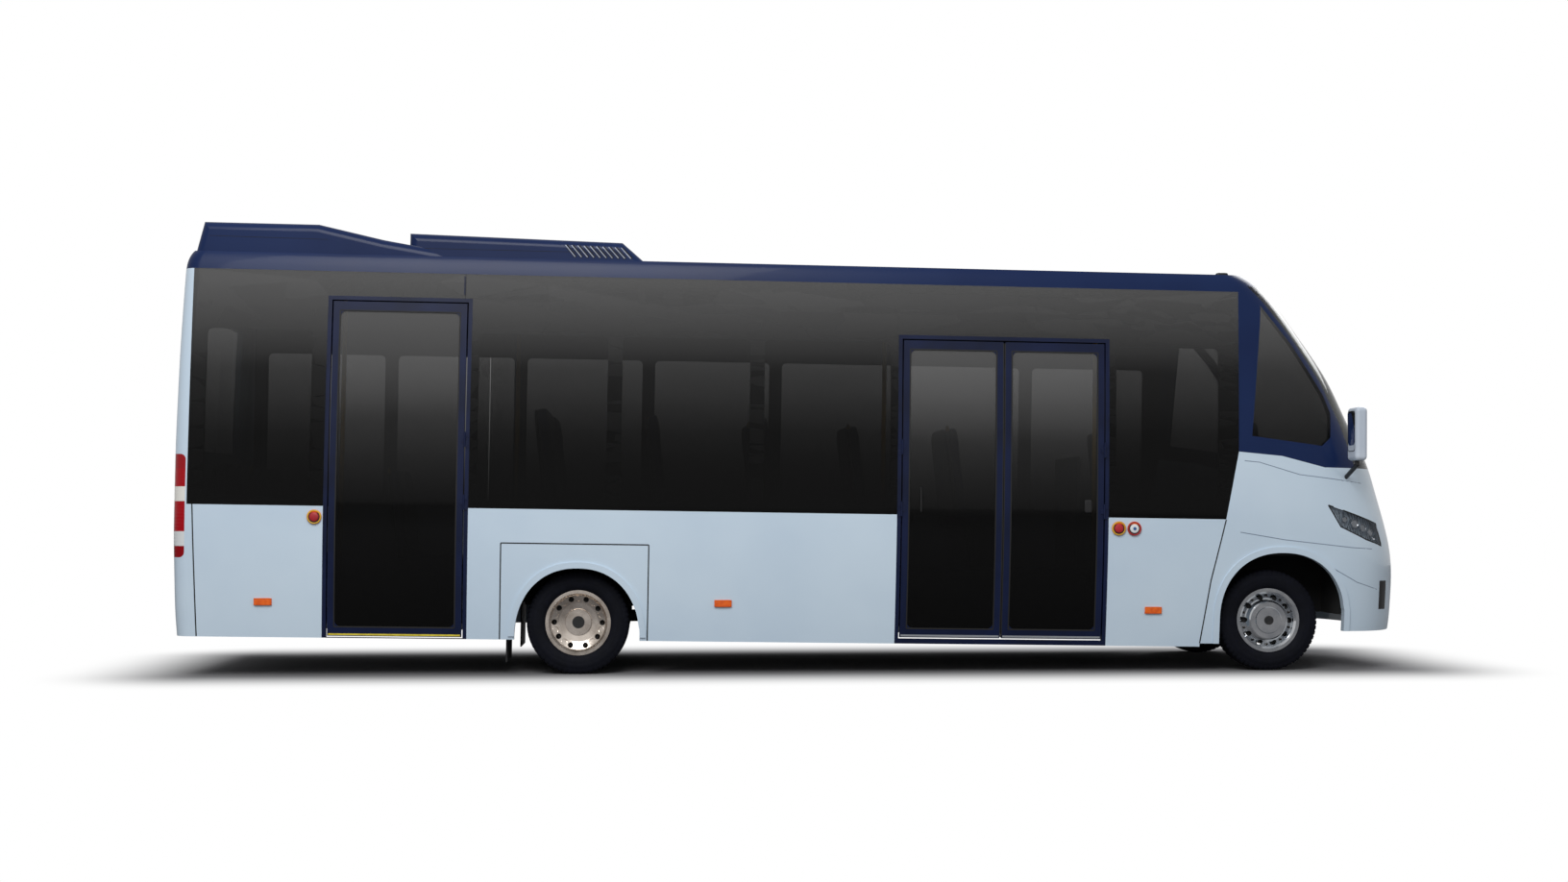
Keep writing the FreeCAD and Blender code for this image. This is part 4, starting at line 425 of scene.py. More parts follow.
def tyre(centre):
    """Loop of tyre sections. Each runs up one wall, over the tread and down the other wall. The tread's
    grooves are set in by the groove's depth, and every fifth section's shoulders by the notch's."""
    tread = [(-TREAD_SHARE, 0), (-SHOULDER_SHARE, 0)]
    for middle in GROOVES:
        tread += [(middle - GROOVE_MOUTH, 0), (middle - GROOVE_HALF, 1), (middle + GROOVE_HALF, 1),
                  (middle + GROOVE_MOUTH, 0)]
    tread = np.array(tread + [(SHOULDER_SHARE, 0), (TREAD_SHARE, 0)])
    walls = np.array(WALL_SHARES)
    rise = WHEEL_RADIUS - BEAD_RADIUS
    crown = WHEEL_RADIUS - 0.1 - CROWN_DROP * np.abs(tread[:, 0]) ** CROWN_POWER
    across = np.concatenate([-walls[:, 0], tread[:, 0], walls[::-1, 0]]) * HALF_TYRE
    radius = np.concatenate([BEAD_RADIUS + walls[:, 1] * rise, crown - tread[:, 1] * GROOVE_DEPTH,
                             BEAD_RADIUS + walls[::-1, 1] * rise])
    step = np.arange(SHOULDER_BLOCKS * SECTIONS_PER_BLOCK)
    shoulder = (np.abs(across) > NOTCH_SHARE * HALF_TYRE) & (radius > NOTCH_RADIUS)
    radius = radius - ((step % SECTIONS_PER_BLOCK == 0)[:, None] & shoulder) * NOTCH_DEPTH
    angle = (2 * pi * step / len(step))[:, None]
    across = np.broadcast_to(across, radius.shape)
    return np.stack([radius * np.cos(angle), across, radius * np.sin(angle)], -1) * MM + centre


tread_rubber = surfaced("tyre_rubber", "#0C0E18", "#080A12", 70, (0.66, 0.85), 50, 4, (0.25, 0.4),
                        {"IOR": 1.25})
SIDES = ((1, "left"), (-1, "right"))
for side, word in SIDES:
    for node, station, planes, body in (("front_tyre_", FRONT_AXLE, [FRONT_PLANE], "front_wheel_"),
                                        ("rear_tyres_", REAR_AXLE, [OUTER_TWIN, INNER_TWIN], "rear_wheels_")):
        tyres = [tyre(wheel_centre(station, plane, side)) for plane in planes]
        made = shells("treaded_" + node + word, tyres, tread_rubber, body + word + "_body",
                      looped=True, sharp=40)
        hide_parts(node + word)

# Wheels and covers: pressed steel rims behind chromed covers. Chrome mirrors its surroundings; the road film
# on it is heavier and warmer on the rear pair. Stud nuts show through the ten holes, which have rolled rims
# at the rear.
VENT_CIRCLE, VENTS, VENT_RADIUS = 174, 10, 22
ROLL_RADIUS, RIMS_OUT, COVER_LEAN = 3, 33, radians(26)
SHADE_INNER, SHADE_OUTER, SHADE_THICK = 74, 182, 14


def chromed(name, light, dark, low, high):
    """Chrome plate under a thin film of road dirt."""
    made, tree, shader = start_material(name, light, {"Metallic": 1.0})
    mottled(tree, shader, light, dark, 110)
    rough_between(tree, shader, low, high, 60)
    bump(tree, shader, noise(tree, 90, 1.0), 0.06, 0.8)
    return made


front_chrome = chromed("chrome_plate", "#E6E8EA", "#C9CDD2", 0.06, 0.16)
rear_chrome = chromed("road_filmed_chrome", "#EADFD4", "#C6BAAE", 0.18, 0.34)
cover(front_chrome, "front_wheel_left", "front_wheel_right")
cover(rear_chrome, "rear_wheels_left", "rear_wheels_right")
# The black ring behind each wheel's vents is painted shade for the wheel's shaded inside.
wheel_inside_shade_black, tree, shader = start_material("black_vent_shade", "#08090B", {"Roughness": 0.7})
mottled(tree, shader, "#0B0C0E", "#050506", 60)
nut_steel = chromed("dark_zinc_steel", "#4A4642", "#2E2B29", 0.3, 0.5)


def turned(profile, centre, side, count=40, tilt=0.0, offset=0.0):
    """Solid of revolution about the bus's width: each ring has the profile's second number for radius and its
    first for distance outwards. It leans back by tilt and stands offset above the centre."""
    profile = np.asarray(profile, float) * MM
    angle = 2 * pi * np.arange(count) / count
    out = np.broadcast_to(profile[:, :1], (len(profile), count))
    wide = profile[:, 1:] * np.cos(angle)
    high = profile[:, 1:] * np.sin(angle)
    out, high = out * cos(tilt) - high * sin(tilt), out * sin(tilt) + high * cos(tilt)
    return np.stack([wide, out * side, high + offset * MM], -1) + centre


def carried_round(stack, centre, turns):
    """Copies of a stack turned about the wheel's axle through centre."""
    local = stack - centre
    return [
        np.stack([local[..., 0] * cos(turn) + local[..., 2] * sin(turn), local[..., 1],
                  local[..., 2] * cos(turn) - local[..., 0] * sin(turn)], -1) + centre
        for turn in turns
    ]


def shade_ring(across, middle, side):
    """Flat dark ring behind the vents, painted shade for the wheel's inside seen through them: a closed
    section turned about the axle, its inner face at a distance outwards."""
    faces = (across, SHADE_INNER), (across + SHADE_THICK, SHADE_INNER)
    backs = (across + SHADE_THICK, SHADE_OUTER), (across, SHADE_OUTER)
    return turned(faces + backs, middle, side, 48)


def rolled_rim(centre, side):
    """Torus round the vent at the top of the vents' circle, its plane leaning with the dished cover."""
    turn = (2 * pi * np.arange(32) / 32)[:, None]
    roll = 2 * pi * np.arange(8) / 8
    wide = VENT_RADIUS + ROLL_RADIUS * np.cos(roll)
    out = ROLL_RADIUS * np.sin(roll) + wide * np.sin(turn) * sin(COVER_LEAN)
    return np.stack([wide * np.cos(turn), side * out, VENT_CIRCLE + wide * np.sin(turn) * cos(COVER_LEAN)],
                    -1) * MM + centre


vent_turns = [2 * pi * number / VENTS for number in range(VENTS)]
NUT = [(-16, 9), (-4, 11), (2, 11), (4, 8), (9, 6), (10, 4)]
FRONT_HUB = [[(94, 60), (94.5, 62), (96, 62), (96.5, 56), (97, 50)],
             [(100, 24), (108, 24), (109, 20), (109.5, 10)]]
REAR_HUB = [[(-2, 86), (0.5, 88), (2.5, 86), (3.5, 78), (4, 70)], [(4, 32), (15, 31), (17, 27), (17.5, 12)]]
# Axle, station, plane, body, how far out the shade and the nuts stand, the nuts' lean, and the hub's parts.
WHEELS = (("front", FRONT_AXLE, FRONT_PLANE, "front_wheel_", 30, 60, radians(-40), FRONT_HUB),
          ("rear", REAR_AXLE, OUTER_TWIN, "rear_wheels_", -14, 19, COVER_LEAN, REAR_HUB))
for side, word in SIDES:
    for axle, station, plane, body, shade_out, nuts_out, lean, hub in WHEELS:
        middle = wheel_centre(station, plane, side)
        body += word + "_body"
        shells(f"{axle}_painted_vent_shade_{word}", [shade_ring(shade_out, middle, side)], wheel_inside_shade_black, body,
               looped=True)
        if axle == "rear":
            face = middle + np.array([0, side * RIMS_OUT, 0]) * MM
            shells("rear_vent_rims_" + word, carried_round(rolled_rim(face, side), face, vent_turns),
                   rear_chrome, body, looped=True)
        face = middle + np.array([0, side * nuts_out, 0]) * MM
        nuts = carried_round(turned(NUT, face, side, 12, lean, VENT_CIRCLE), face, vent_turns)
        shells(f"{axle}_stud_nuts_{word}", nuts, nut_steel, body)
        caps = [turned(profile, middle, side, count) for profile, count in zip(hub, (56, 40))]
        shells(f"{axle}_hub_cap_{word}", caps, rear_chrome, body)

# Tail lamps: tall lenses moulded in red acrylic with two clear bands for the turn and reversing lamps. Fine
# prisms inside the lens show as level ribs, spaced 12 mm.
TAIL_FOOT, TAIL_HEAD = 0.845, 1.585


def ribbed(tree, shader, pitch_mm, direction, strength, depth_mm):
    """Moulded ribs that follow one another along an axis, from a sine wave of their pitch."""
    ribs = add_node(tree, "TexWave", {"Scale": 1000 / pitch_mm / 20 * pi}, {"Vector": object_place(tree)},
                    bands_direction=direction, wave_profile="SIN")
    bump(tree, shader, ribs.outputs["Fac"], strength, depth_mm)


red_acrylic, tree, shader = start_material("red_acrylic_lens", "#A80F1E", {"Roughness": 0.12, "IOR": 1.3})
tinted(tree, shader, height_share(tree, TAIL_FOOT, TAIL_HEAD),
       [(0.0, "#8E0914"), (0.12, "#D9DCDD"), (0.26, "#A30B18"), (0.55, "#E4E2DC"), (0.69, "#A30B18"),
        (0.86, "#98101A")], smooth=False)
ribbed(tree, shader, 12, "Z", 0.25, 1.0)
cover(red_acrylic, "tail_lamps")

# Headlamps and the slim lamps under them: polycarbonate lenses over dark housings, with chromed bowls in
# them. The lens is the frame's own, made clear. The bowls stand behind its face, and a black rim seals it.
LAMP_FOOT_Z, LAMP_HEAD_Z = 0.45, 1.35
lens_clear, tree, shader = start_material("polycarbonate_lens", "#4A525C", {"IOR": 1.4})
share = height_share(tree, LAMP_FOOT_Z, LAMP_HEAD_Z)
tinted(tree, shader, share, [(0.0, "#0C0D10"), (0.35, "#39404A"), (0.8, "#59626D")], smooth=False)
tinted(tree, shader, share, [(0.0, "#FFFFFF"), (0.35, "#B4B4B4")], "Alpha", smooth=False)
rough_between(tree, shader, 0.04, 0.12, 80)
bump(tree, shader, noise(tree, 40, 1.0), 0.08, 0.6)
cover(lens_clear, "front_lamps")
lamp_skin = skin("front_lamps")
bowl_chrome = chromed("vacuum_metallised_bowl", "#DDE1E6", "#B9BFC6", 0.08, 0.2)
BOWL = np.array([(-6, 27), (-2, 27), (0, 25), (-4, 22), (-9, 17), (-13, 11), (-15, 4)])
BOWL_RADIUS, BOWL_DEPTH = 27, 9
BOWLS = ((4035, 1148, 33), (4110, 1118, 31), (4180, 1085, 27), (3950, 1178, 22), (4210, 1040, 16),
         (4300, 620, 20), (4295, 680, 14), (4295, 560, 14))


def lamp_bowl(side, station, height, radius):
    """Lamp bowl on the lens's face: a turned dish, its axis along the face's own normal, set in by 9 mm."""
    start = in_bus((station, side * REACH / MM, height))
    hit, normal = lamp_skin[0].ray_cast(Vector(start), Vector((0, -side, 0)), 2 * REACH)[:2]
    normal = np.array(normal if normal.y * side > 0 else -normal)
    aside = np.cross(normal, (0, 0, 1.0))
    aside /= np.linalg.norm(aside)
    upward = np.cross(aside, normal)
    angle = 2 * pi * np.arange(36) / 36
    profile = BOWL * MM * np.array([1, radius / BOWL_RADIUS])
    rings = (profile[:, :1, None] * normal + profile[:, 1:, None] * (
        np.cos(angle)[:, None] * aside + np.sin(angle)[:, None] * upward))
    return rings + np.array(hit) - normal * BOWL_DEPTH * MM


bowls = [lamp_bowl(side, *bowl) for side in (-1, 1) for bowl in BOWLS]
shells("lamp_bowls", bowls, bowl_chrome, "bus_body")
LAMP_REAR, LAMP_NOSE, LAMP_FOOT, LAMP_HEAD = 3812, 4285, 984, 1282
LAMP_SHARES = [(0.0, 1.0), (0.89, 0.56), (1.0, 0.0), (0.66, 0.16), (0.21, 0.47), (0.0, 1.0)]
lamp_outline = [(LAMP_REAR + along * (LAMP_NOSE - LAMP_REAR), LAMP_FOOT + up * (LAMP_HEAD - LAMP_FOOT))
                for along, up in LAMP_SHARES]
nose_skin = skin("front_lamps", "front_mask")
rims = [bead(line_on_side(nose_skin, lamp_outline, side, 40), (0.35, side * 0.94, 0), 9, 1.0, 5.0)
        for side in (-1, 1)]
shells("headlamp_rims", rims, epdm, "bus_body")

# Side markers and door buttons: amber acrylic lenses with upright ribs, and round push buttons with a
# coloured rim, a domed cap and a dark well between. They stand on the frame's low bosses, which they cover.
amber_acrylic, tree, shader = start_material("amber_acrylic_lens", "#E8630F",
                                             {"Roughness": 0.15, "IOR": 1.49, "Coat Weight": 0.6})
mottled(tree, shader, "#EE6A12", "#D9550C", 30)
ribbed(tree, shader, 8, "X", 0.3, 0.8)
MARKERS = [(-3921, 479), (-646, 504), (2514, 491)]
MARKER_HALF, MARKER_SUNK = (63, 8, 26), 6


def pillow(centre, half, power=0.28, rings=12, count=36):
    """Rounded block: the superellipsoid whose sines and cosines are raised to a small power, scaled by its
    half sizes along x, y and z."""
    rise = np.linspace(-pi / 2 * 0.98, pi / 2 * 0.98, rings)[:, None]
    turn = (2 * pi * np.arange(count) / count)[None, :]

    def eased(value):
        """Value raised to the power, its sign kept."""
        return np.sign(value) * np.abs(value) ** power

    grid = np.stack([eased(np.cos(rise)) * eased(np.cos(turn)), eased(np.cos(rise)) * eased(np.sin(turn)),
                     eased(np.sin(rise)) + 0 * turn], -1)
    return grid * np.asarray(half) * MM + centre


def on_side(trees, station, height, side):
    """Point of one side's skin at a station and height of the level body."""
    return nearest_hit(trees, in_bus((station, side * REACH / MM, height)), (0, -side, 0))


lamp_bosses = skin("side_lamps")
markers = [
    pillow(on_side(lamp_bosses, *marker, side) - np.array([0, side * MARKER_SUNK, 0]) * MM, MARKER_HALF)
    for side in (-1, 1) for marker in MARKERS
]
shells("marker_lenses", markers, amber_acrylic, "bus_body")


def plastic(name, light, dark, rough=0.35, grain=6):
    """Moulded plastic: two close shades, a moulded grain and a satin gloss."""
    return surfaced(name, light, dark, 80, (rough, rough + 0.15), 60, grain, (0.1, 0.3), {"IOR": 1.5})


yellow_button = plastic("yellow_abs", "#DDB022", "#C99C18")
red_button = plastic("red_abs", "#B3202A", "#981821")
white_button = plastic("white_abs", "#E9ECEE", "#D8DCDF")
blue_button = plastic("blue_abs", "#2C62A8", "#24528E")
BUTTON_HEIGHT = 1088
RIM = [(-13, 50), (0, 51), (3, 49), (4, 46), (3, 42), (-2, 41)]
CAP = [(-10, 33), (3, 33), (7, 30), (9, 22), (10, 10)]
WELL = [(-12, 40), (1, 40), (1.4, 20)]
DOT = [(8, 12), (11.5, 12), (12, 9), (12.2, 3)]
for station, rim_finish, cap_finish in ((-3567, yellow_button, red_button), (2243, yellow_button, red_button),
                                        (2358, red_button, white_button)):
    face = on_side(lamp_bosses, station, BUTTON_HEIGHT, -1)
    parts = [("rim", RIM, 48, rim_finish, "lamp_amber"), ("cap", CAP, 40, cap_finish, "lamp_amber"),
             ("well", WELL, 40, black_abs, "frame_black")]
    if cap_finish is white_button:
        parts.append(("dot", DOT, 28, blue_button, "lamp_amber"))
    for part, profile, count, finish, slot in parts:
        shells(f"button_{part}_{abs(station)}", [turned(profile, face, -1, count)], finish, "bus_body")
cover(amber_acrylic, "side_lamps")

# Mirrors: moulded housings hung on black arms from the nose. The frame's node keeps its form; it is black
# below and white from a third of its height upwards. Each housing carries a silvered glass in a black rim.
MIRROR_X, MIRROR_Y, MIRROR_Z = 3986, 1262, 1823.5
TONES_FOOT_Z, TONES_HEAD_Z = 1.452, 1.652
two_tone, tree, shader = start_material("two_tone_mirror_housing", "#C5CEDA", {"IOR": 1.5, "Roughness": 0.4})
tinted(tree, shader, height_share(tree, TONES_FOOT_Z, TONES_HEAD_Z),
       [(0.0, "#16171A"), (0.49, "#16171A"), (0.51, "#C5CEDA"), (1.0, "#BCC6D3")])
bump(tree, shader, noise(tree, 5), 0.1, 0.3)
cover(two_tone, "mirrors")
silvered = chromed("silvered_glass", "#EDEFF2", "#DDE1E6", 0.02, 0.05)
mirror_skin = skin("mirrors")


def rounded_plate(half_wide, half_high, radius, count=10):
    """Outline of a rounded rectangle: four quarter circles of a radius joined by straight edges."""
    quarter = np.linspace(0, pi / 2, count)
    corners = []
    for number, (wide, high) in enumerate(((1, 1), (-1, 1), (-1, -1), (1, -1))):
        angle = quarter + number * pi / 2
        corners.append(np.stack([wide * (half_wide - radius) + radius * np.cos(angle),
                                 high * (half_high - radius) + radius * np.sin(angle)], -1))
    return np.concatenate(corners)


def plate_across(outline, layers, centre, aside, upward, outward):
    """Stack of one outline at several (shrink, distance outwards) layers, closed by its end layers."""
    rings = []
    for shrink, out in layers:
        scaled = outline * shrink
        rings.append(scaled[:, :1] * np.asarray(aside) + scaled[:, 1:] * np.asarray(upward)
                     + out * np.asarray(outward, float))
    return np.stack(rings) * MM + centre


mirror_outline = rounded_plate(70, 150, 26)
for side, word in SIDES:
    start = in_bus((MIRROR_X, side * MIRROR_Y, MIRROR_Z)) - np.array([0.5, 0, 0])
    face = nearest_hit(mirror_skin, start, (1, 0, 0))
    for part, layers, finish in (("rim", ((1.0, -4), (1.0, 2), (0.95, 2.5), (0.9, 0.5)), black_abs),
                                 ("glass", ((0.92, -2), (0.92, 1.2), (0.6, 1.6)), silvered)):
        plate = plate_across(mirror_outline, layers, face, (0, 1, 0), (0, 0, 1), (-1, 0, 0))
        shells(f"mirror_{part}_{word}", [plate], finish, "bus_body")

# Wipers: two black painted steel arms on spindles under the windscreen, each with a rubber blade lying on the
# glass. Both park towards the nearside. Paths are laid on the frame's own glass by looking straight at it
# from the front.
screen_skin = skin("windscreen", "front_mask")
wiper_black = plastic("black_painted_steel", "#131416", "#0C0D0E", 0.4, 20)
WIPERS = ((-130, -560), (700, 270))
SPINDLE_Z, PARKED_Z, BLADE_HALF, BLADE_FALL = 1545, 1680, 330, 0.09
END_REACH_MM = 5000


def on_end(trees, width, height, end):
    """Point of the bus's front (end 1) or rear (end -1) at a width and height of the level body."""
    return nearest_hit(trees, in_bus((end * END_REACH_MM, width, height)), (-end, 0, 0))


def tube(path, radius, count=10):
    """Round bar along a path: rings square to its running direction, of a fixed radius."""
    path = np.asarray(path, float)
    along = np.gradient(path, axis=0)
    along /= np.linalg.norm(along, axis=1)[:, None]
    level = np.cross(along, (0.0, 0.0, 1.0))
    short = np.linalg.norm(level, axis=1) < 0.2
    level[short] = np.cross(along[short], (1.0, 0.0, 0.0))
    level /= np.linalg.norm(level, axis=1)[:, None]
    over = np.cross(level, along)
    angle = 2 * pi * np.arange(count) / count
    return (path[:, None] + radius * MM * (np.cos(angle)[:, None] * level[:, None]
                                           + np.sin(angle)[:, None] * over[:, None]))


bars, blades = [], []
for foot, tip in WIPERS:
    arm = np.array([
        on_end(screen_skin, foot + (tip - foot) * share, SPINDLE_Z + (PARKED_Z - SPINDLE_Z) * share, 1)
        for share in np.linspace(0, 1, 15)
    ])
    bars.append(tube(arm + np.array([14, 0, 6]) * MM, 8))
    line = np.array([on_end(screen_skin, tip + along, PARKED_Z - BLADE_FALL * along, 1)
                     for along in np.linspace(-BLADE_HALF, BLADE_HALF, 19)])
    blades.append(tube(line + np.array([5, 0, 2]) * MM, 6, 8))
shells("wiper_arms", bars, wiper_black, "bus_body")
shells("wiper_blades", blades, epdm, "bus_body")

# Front door's handle and lock: a moulded black bar handle laid along the aft leaf, its ends let into it, and
# a blank black lock box screwed to the fore leaf.
HANDLE_PLACE, LOCK_PLACE = (783, 1277), (2016, 1246)
leaf_skin = skin("front_door_aft", "front_door_fore", "front_door_aft_glass", "front_door_fore_glass")
HANDLE_LINE = np.array([(0, 4, -90), (0, -4, -85), (0, -5, -30), (0, -5, 30), (0, -4, 85), (0, 4, 90)]) * MM
shells("front_grab_handle", [tube(on_side(leaf_skin, *HANDLE_PLACE, -1) + HANDLE_LINE, 7)], black_abs,
       "front_door_aft_body")
shells("front_lock_box", [pillow(on_side(leaf_skin, *LOCK_PLACE, -1), (26, 6, 46))], black_abs,
       "front_door_fore_body")

# Registration plates: blank white reflective sheet in black frames, screwed to the nose and the rear wall.
# The sheet's fine cells are its glass beads.
plate_white, tree, shader = start_material("reflective_sheet", "#D9DBDC",
                                           {"Roughness": 0.35, "Coat Weight": 0.3})
mottled(tree, shader, "#DCDEDF", "#CFD1D3", 40)
beads = add_node(tree, "TexVoronoi", {"Scale": 250.0}, {"Vector": object_place(tree)})
bump(tree, shader, beads.outputs[0], 0.1, 0.2)
tail_skin = skin("rear_wall", "rear_bumper")
nose_front = skin("front_mask", "grille")
PLATE_PARTS = (("plate_frame", 266, 62, 1.5, black_abs), ("plate", 260, 56, 2.5, plate_white))
for word, trees, end, height in (("rear", tail_skin, -1, 540), ("front", nose_front, 1, 430)):
    low, middle, high = (on_end(trees, 0, height + step, end) for step in (-60, 0, 60))
    upward = (high - low) / np.linalg.norm(high - low)
    outward = np.array([upward[2], 0, -upward[0]]) * end
    for part, wide, tall, lift, finish in PLATE_PARTS:
        layers = ((1.0, -14), (1.0, lift), (0.985, lift + 0.5))
        plate = plate_across(rounded_plate(wide, tall, 8, 5), layers, middle, (0, 1, 0), upward, outward)
        shells(word + "_" + part, [plate], finish, "bus_body")

# Rear reflectors: two pieces of red reflex acrylic a side, stuck on below the tail lamp. One lies level on
# the bumper and one stands over it.
REFLECTORS = ((900, 420, (5, 44, 22)), (930, 630, (5, 26, 58)))
reflex_red = plastic("red_reflex_acrylic", "#8C1019", "#6D0B13", 0.15, 8)
reflectors = [pillow(on_end(tail_skin, side * width, height, -1) + np.array([3, 0, 0]) * MM, half)
              for side in (-1, 1) for width, height, half in REFLECTORS]
shells("rear_reflectors", reflectors, reflex_red, "bus_body")

# Cooling unit's louvres: ten slanted slots pressed into each flank of the rooftop unit. Their dark insides
# are painted shade, laid as dark beads on the skin. A slim louvre of pale grey plastic is clipped across each.
cooler_skin = skin("air_conditioner")
slot_shade_and_seams, tree, shader = start_material("shadowed_slot", "#0B0F1C", {"Roughness": 0.8})
mottled(tree, shader, "#0B0F1C", "#060810", 30)
LOUVRES = 10
FIRST_HEAD, HEAD_RUN = np.array([-1842, 3135]), np.array([414, -12])
FIRST_SLANT, SLANT_RUN = np.array([74, -88]), np.array([0, 8])
slots, louvres = [], []
for side in (-1, 1):
    for share in np.arange(LOUVRES) / (LOUVRES - 1):
        head = FIRST_HEAD + share * HEAD_RUN
        line = line_on_side(cooler_skin, [head, head + FIRST_SLANT + share * SLANT_RUN], side, 20)
        slots.append(bead(line, (0, side, 0), 24, 0.5, 6.0))
        louvres.append(bead(line + np.array([-5, 0, 2]) * MM, (0, side, 0), 7, 1.5, 4.0))
shells("cooler_slots", slots, slot_shade_and_seams, "bus_body")
shells("cooler_louvres", louvres, plastic("grey_louvre_plastic", "#9AA3B5", "#868FA2", 0.3, 12), "bus_body")

# Underbody: ladder frame, axles, springs and knuckles in black chassis paint, dulled by road dust that
# settles as pale patches. The engine is cast iron, the exhaust aluminised steel, the tank black painted
# steel.
DUST_PATCH_MM = 160


def painted(name, light, dark, dust, rough=0.5):
    """Chassis paint: two close shades, with dust in broad patches."""
    made, tree, shader = start_material(name, light, {"IOR": 1.5})
    patches = noise(tree, DUST_PATCH_MM, 5.0)
    tinted(tree, shader, patches, [(0.38, dark), (0.52, light), (0.68, dust)])
    rough_between(tree, shader, rough, rough + 0.3, DUST_PATCH_MM)
    bump(tree, shader, noise(tree, 9), 0.15, 0.5)
    return made


chassis_paint = painted("black_chassis_paint", "#17181A", "#0F1011", "#34322E")
cover(chassis_paint, "chassis_frame", "rear_axle", "propshaft", "leaf_springs", "front_axle", "knuckle_left",
      "knuckle_right")
cover(painted("cast_iron", "#4A4846", "#333130", "#625B52", 0.6), "engine_block")
cover(painted("black_tank_paint", "#1D1E20", "#121314", "#383632", 0.4), "fuel_tank")
cover(chromed("aluminised_steel", "#8F8C86", "#6B6258", 0.35, 0.55), "exhaust")
cover(surfaced("moulded_flap_rubber", "#1C1C1E", "#121213", 60, (0.65, 0.85), 40, 5, (0.2, 0.4),
               {"IOR": 1.5}), "mudflaps")

# Cabin floors and steps: grey safety vinyl, welded sheet with hard pale and dark grains in it. The grains are
# drawn at 8 mm, coarser than real, so that they show. The wheel housings are steel under black underseal.
GRAIN_MM = 8
vinyl, tree, shader = start_material("grey_safety_vinyl", "#6E7276", {"IOR": 1.5})
tinted(tree, shader, noise(tree, GRAIN_MM, 1.0),
       [(0.42, "#5A5E62"), (0.5, "#6E7276"), (0.62, "#6E7276"), (0.66, "#B4B6B8")])
rough_between(tree, shader, 0.5, 0.7, 120)
bump(tree, shader, noise(tree, GRAIN_MM), 0.15, 0.3)
cover(vinyl, "main_floor", "low_floor", "front_steps")
cover(painted("black_underseal", "#0D0E10", "#08090A", "#191918", 0.75), "wheel_housings")

# Grab rails: steel tube in yellow powder coat. Driver's partition: grey laminate on board. Dashboard and
# steering wheel: dark grey grained ABS and black foam, with an instrument binnacle set before the driver.
yellow_rail = plastic("yellow_powder_coat", "#E3B71C", "#CFA213", 0.25, 5)
cover(yellow_rail, "handrails")
cover(plastic("grey_laminate", "#8B8F95", "#7E8288", 0.35, 30), "driver_partition")
dash_plastic = plastic("grained_abs", "#2B2D31", "#222428", 0.5, 4)
cover(dash_plastic, "dashboard")
cover(plastic("black_foam_rim", "#131315", "#0D0D0E", 0.55, 3), "steering_wheel")
DRIVER_PLANE = 621
binnacle = in_bus((3740, DRIVER_PLANE, 1236))
shells("instrument_binnacle", [pillow(binnacle, (70, 165, 42), 0.45)], dash_plastic, "bus_body")

# Seats: foam cushions and squabs upholstered in blue moquette, two sitters to a unit, each pad sewn with two
# seams down and one across. Moulded grey shells carry the squabs, on box pedestals, with a yellow grab loop
# at the aisle.
SEAT_WIDTH, SEAT_PLANE = 870, 625
MAIN_FLOOR, AXLE_FLOOR, LOW_FLOOR = 740, 774, 330
SEAT_LIFT = 330
SEATS = ([(station, 1, MAIN_FLOOR) for station in (-1188, -388, 412, 1212)] + [(-1988, 1, AXLE_FLOOR)]
         + [(station, -1, MAIN_FLOOR) for station in (-1188, -388)] + [(-1988, -1, AXLE_FLOOR)]
         + [(-4270, 1, LOW_FLOOR), (-3203, 1, LOW_FLOOR), (-4270, -1, LOW_FLOOR)])
SQUAB_LEAN, CUSHION_LEAN = radians(6.9), radians(94)
SQUAB_HALF, CUSHION_HALF, PEDESTAL_HALF = (46, 206, 346), (56, 208, 246), (50, 146, 186)
DRIVER_SEAT = (2497, DRIVER_PLANE, MAIN_FLOOR, (0.0,), 435)


def pad(centre, half, lean, rings=26, count=56):
    """Upholstered pad: a rounded block thinned towards its edges by up to 0.16 of its thickness and creased by
    narrow valleys along the seams, leaning back by an angle."""
    block = pillow(np.zeros(3), (1 / MM, 1 / MM, 1 / MM), 0.32, rings, count)
    thick, wide, tall = block[..., 0], block[..., 1], block[..., 2]
    crown = 1 - 0.16 * (np.abs(wide) ** 2.4 + np.abs(tall) ** 2.4) / 2
    crease = np.exp(-((np.abs(wide) - 0.58) / 0.06) ** 2) + np.exp(-((tall - 0.42) / 0.06) ** 2)
    thick = thick * crown * (1 - 0.12 * np.minimum(crease, 1))
    thick, wide, tall = thick * half[0], wide * half[1], tall * half[2]
    level = np.stack([thick * cos(lean) - tall * sin(lean), wide, tall * cos(lean) + thick * sin(lean)], -1)
    return in_bus(level + np.asarray(centre, float))


